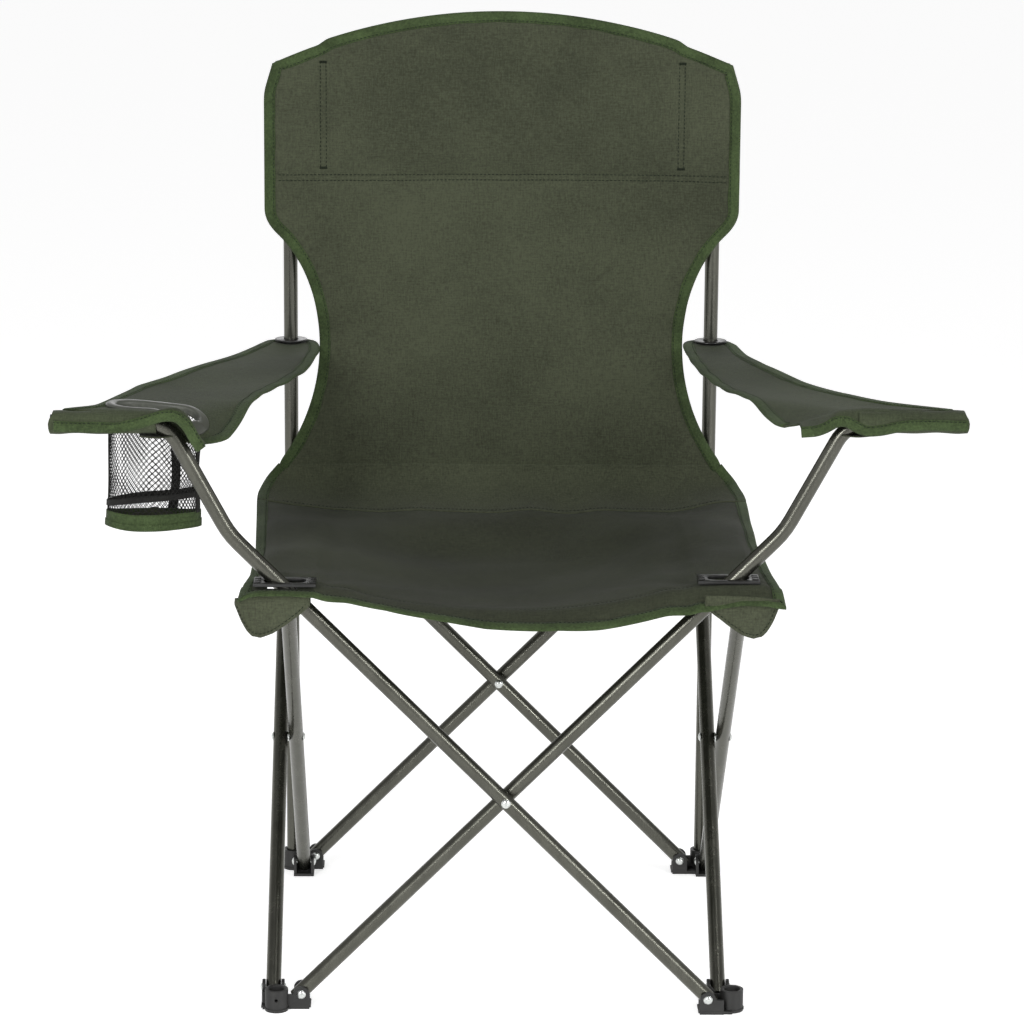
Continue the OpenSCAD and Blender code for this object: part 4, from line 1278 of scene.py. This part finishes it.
def make_cup():
    # the grey ring: a softened oval band that follows the armrest
    outer, inner = oval(0, 0, CUP_A, CUP_B, 96), oval(0, 0, CUP_A - 0.0105, CUP_B - 0.0105, 96)
    rings = []
    for (ox, oy), (ix, iy) in zip(outer, inner):
        ring = []
        for f, h in ((0, 0.0), (0.04, 0.0016), (0.2, 0.0026), (0.5, 0.003), (0.8, 0.0026), (0.96, 0.0016), (1, 0),
                     (1.0, -0.006), (0.9, -0.0064), (0.88, -0.0004), (0.5, -0.0002), (0.1, -0.0002)):
            x, y = ox + (ix - ox) * f, oy + (iy - oy) * f
            z = float(arm_height(np.abs(CUP.x + x), np.array(CUP.y + y), "left"))
            ring.append((CUP.x + x, CUP.y + y, z + CLOTH / 2 + 0.0003 + h))
        rings.append(ring)
    rings = np.array(rings)
    o = link("cup_ring_moulded", sweep(rings[:, 3], rings, closed_path=True), "grey_plastic")
    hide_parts("cup_ring")
    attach(o, "arm_left")
    make_net()
    tape_ring("cup_tape_top", BAG_HIGH.z - 0.014, BAG_HIGH.z - 0.007, 0.0006, "mesh", sag=0.001, seed=121)
    tape_ring("cup_tape_middle", BASE_HIGH.z + 0.0095, BASE_HIGH.z + 0.0145, 0.0008, "mesh", sag=0.0045, seed=123)
    band = tape_ring("cup_band", BASE_LOW.z, BASE_HIGH.z, 0.0006, "green_binding", seed=125)
    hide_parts("cup_base")
    tape_ring("cup_band_edge", BASE_LOW.z - 0.0002, BASE_LOW.z + 0.006, 0.0014, "green_binding", seed=127)
    # flat woven bottom
    turn = np.linspace(0, 2 * math.pi, 97)[None, :]
    f = np.linspace(0.02, 1, 12)[:, None]
    rim = bag_point(turn, np.full_like(turn, BASE_LOW.z))
    middle = np.array([CUP.x - 0.004, CUP.y, BASE_LOW.z + 0.0012])
    p = middle + (rim - middle) * f[:, :, None]
    # the bottom carries painted shade: the olive cloth darkened
    base = link("cup_bottom", cloth_mesh(p, p[:, :, [0, 1]], thick=THIN), "shaded_under_cloth")
    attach(base, "cup_holder")
    # upright tape on the inner side
    z = np.linspace(BAG_LOW.z - 0.002, BAG_HIGH.z - 0.004, 24)[:, None]
    for number, at in enumerate((-0.35, 1.2)):
        turn = at + np.linspace(-0.11, 0.11, 7)[None, :] + 0.05 * ripple(z, 131 + number, 3, 8, 16)
        p = bag_point(turn, z + 0 * turn)
        p = p + unit((p - np.array([CUP.x, CUP.y, 0])) * np.array([1, 1, 0])) * 0.001
        o = link(f"cup_tape_upright_{number}", cloth_mesh(p, p[:, :, [1, 2]], thick=0.001), "mesh")
        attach(o, "cup_holder")


# ---------------------------------------------------------------- floor, light and camera

def studio():
    bpy.ops.mesh.primitive_plane_add(size=60, location=(0, 0, 0))
    floor = bpy.context.object
    floor.name = "studio_floor"
    m, b = principled("floor", (0.8, 0.8, 0.8), 0.9, spec=0.0)
    b.inputs["Emission Color"].default_value = (1, 1, 1, 1)
    b.inputs["Emission Strength"].default_value = 0.62
    floor.data.materials.append(m)
    world = bpy.data.worlds.new("studio")
    world.use_nodes = True
    tree = world.node_tree
    n = Net(world)
    way = tree.nodes.new("ShaderNodeTexCoord").outputs["Generated"]
    height = n.add("ShaderNodeSeparateXYZ", Vector=way).outputs[2]
    sky = n.ramp(height, [(at, (k, k, k)) for at, k in ((0.0, 1.1), (0.12, 1.05), (0.5, 0.42), (1.0, 0.26))])
    n.link(sky, tree.nodes["Background"].inputs[0])
    tree.nodes["Background"].inputs[1].default_value = 1.0
    bpy.context.scene.world = world
    area("key", (-1.5, -3.0, 1.7), (0, 0, 0.5), 1.2, 22)
    area("fill", (2.4, -2.4, 1.2), (0, 0, 0.5), 1.2, 9)
    area("strip_left", (-1.2, -2.4, 2.0), (0, 0, 0.4), 0.045, 26, 2.6)
    area("strip_right", (1.9, -1.9, 2.0), (0, 0, 0.4), 0.045, 32, 2.6)
    area("rim", (0.0, 2.4, 1.6), (0, 0, 0.6), 1.2, 8)


def area(name, at, to, size, power, tall=None):
    light = bpy.data.lights.new(name, "AREA")
    light.energy = power
    light.size = size
    if tall:
        light.shape = "RECTANGLE"
        light.size_y = tall
    o = bpy.data.objects.new(name, light)
    o.location = at
    o.rotation_euler = (Vector(to) - Vector(at)).to_track_quat("-Z", "Y").to_euler()
    bpy.context.scene.collection.objects.link(o)


def camera():
    pitch, yaw, roll = math.radians(12.654), math.radians(1.188), math.radians(0.435)
    ahead = Vector((math.sin(yaw) * math.cos(pitch), math.cos(yaw) * math.cos(pitch), -math.sin(pitch)))
    right = Vector((math.cos(yaw), -math.sin(yaw), 0))
    up = right.cross(ahead)
    right, up = (right * math.cos(roll) + up * math.sin(roll)), (up * math.cos(roll) - right * math.sin(roll))
    data = bpy.data.cameras.new("camera")
    data.sensor_width = 36
    data.lens = 130.5
    o = bpy.data.objects.new("camera", data)
    o.matrix_world = Matrix((right, up, -ahead)).transposed().to_4x4()
    o.location = (-0.0683, -3.7092, 1.2881)
    bpy.context.scene.collection.objects.link(o)
    bpy.context.scene.camera = o


camera()
studio()
bpy.context.scene.view_settings.view_transform = "Standard"
finish_cad()
for node in ("foot_front_left", "foot_front_right", "foot_rear_left", "foot_rear_right", "slider_left", "slider_right",
             "hub_left", "hub_right", "grommet_left", "grommet_right", "arm_ring_left", "arm_ring_right"):
    softened(node)
make_back()
for side in (-1, 1):
    post_pocket(side)
    seat_pocket(side)
head_rest()
make_seat()
for word in ARMS:
    make_arm(word)
make_cup()
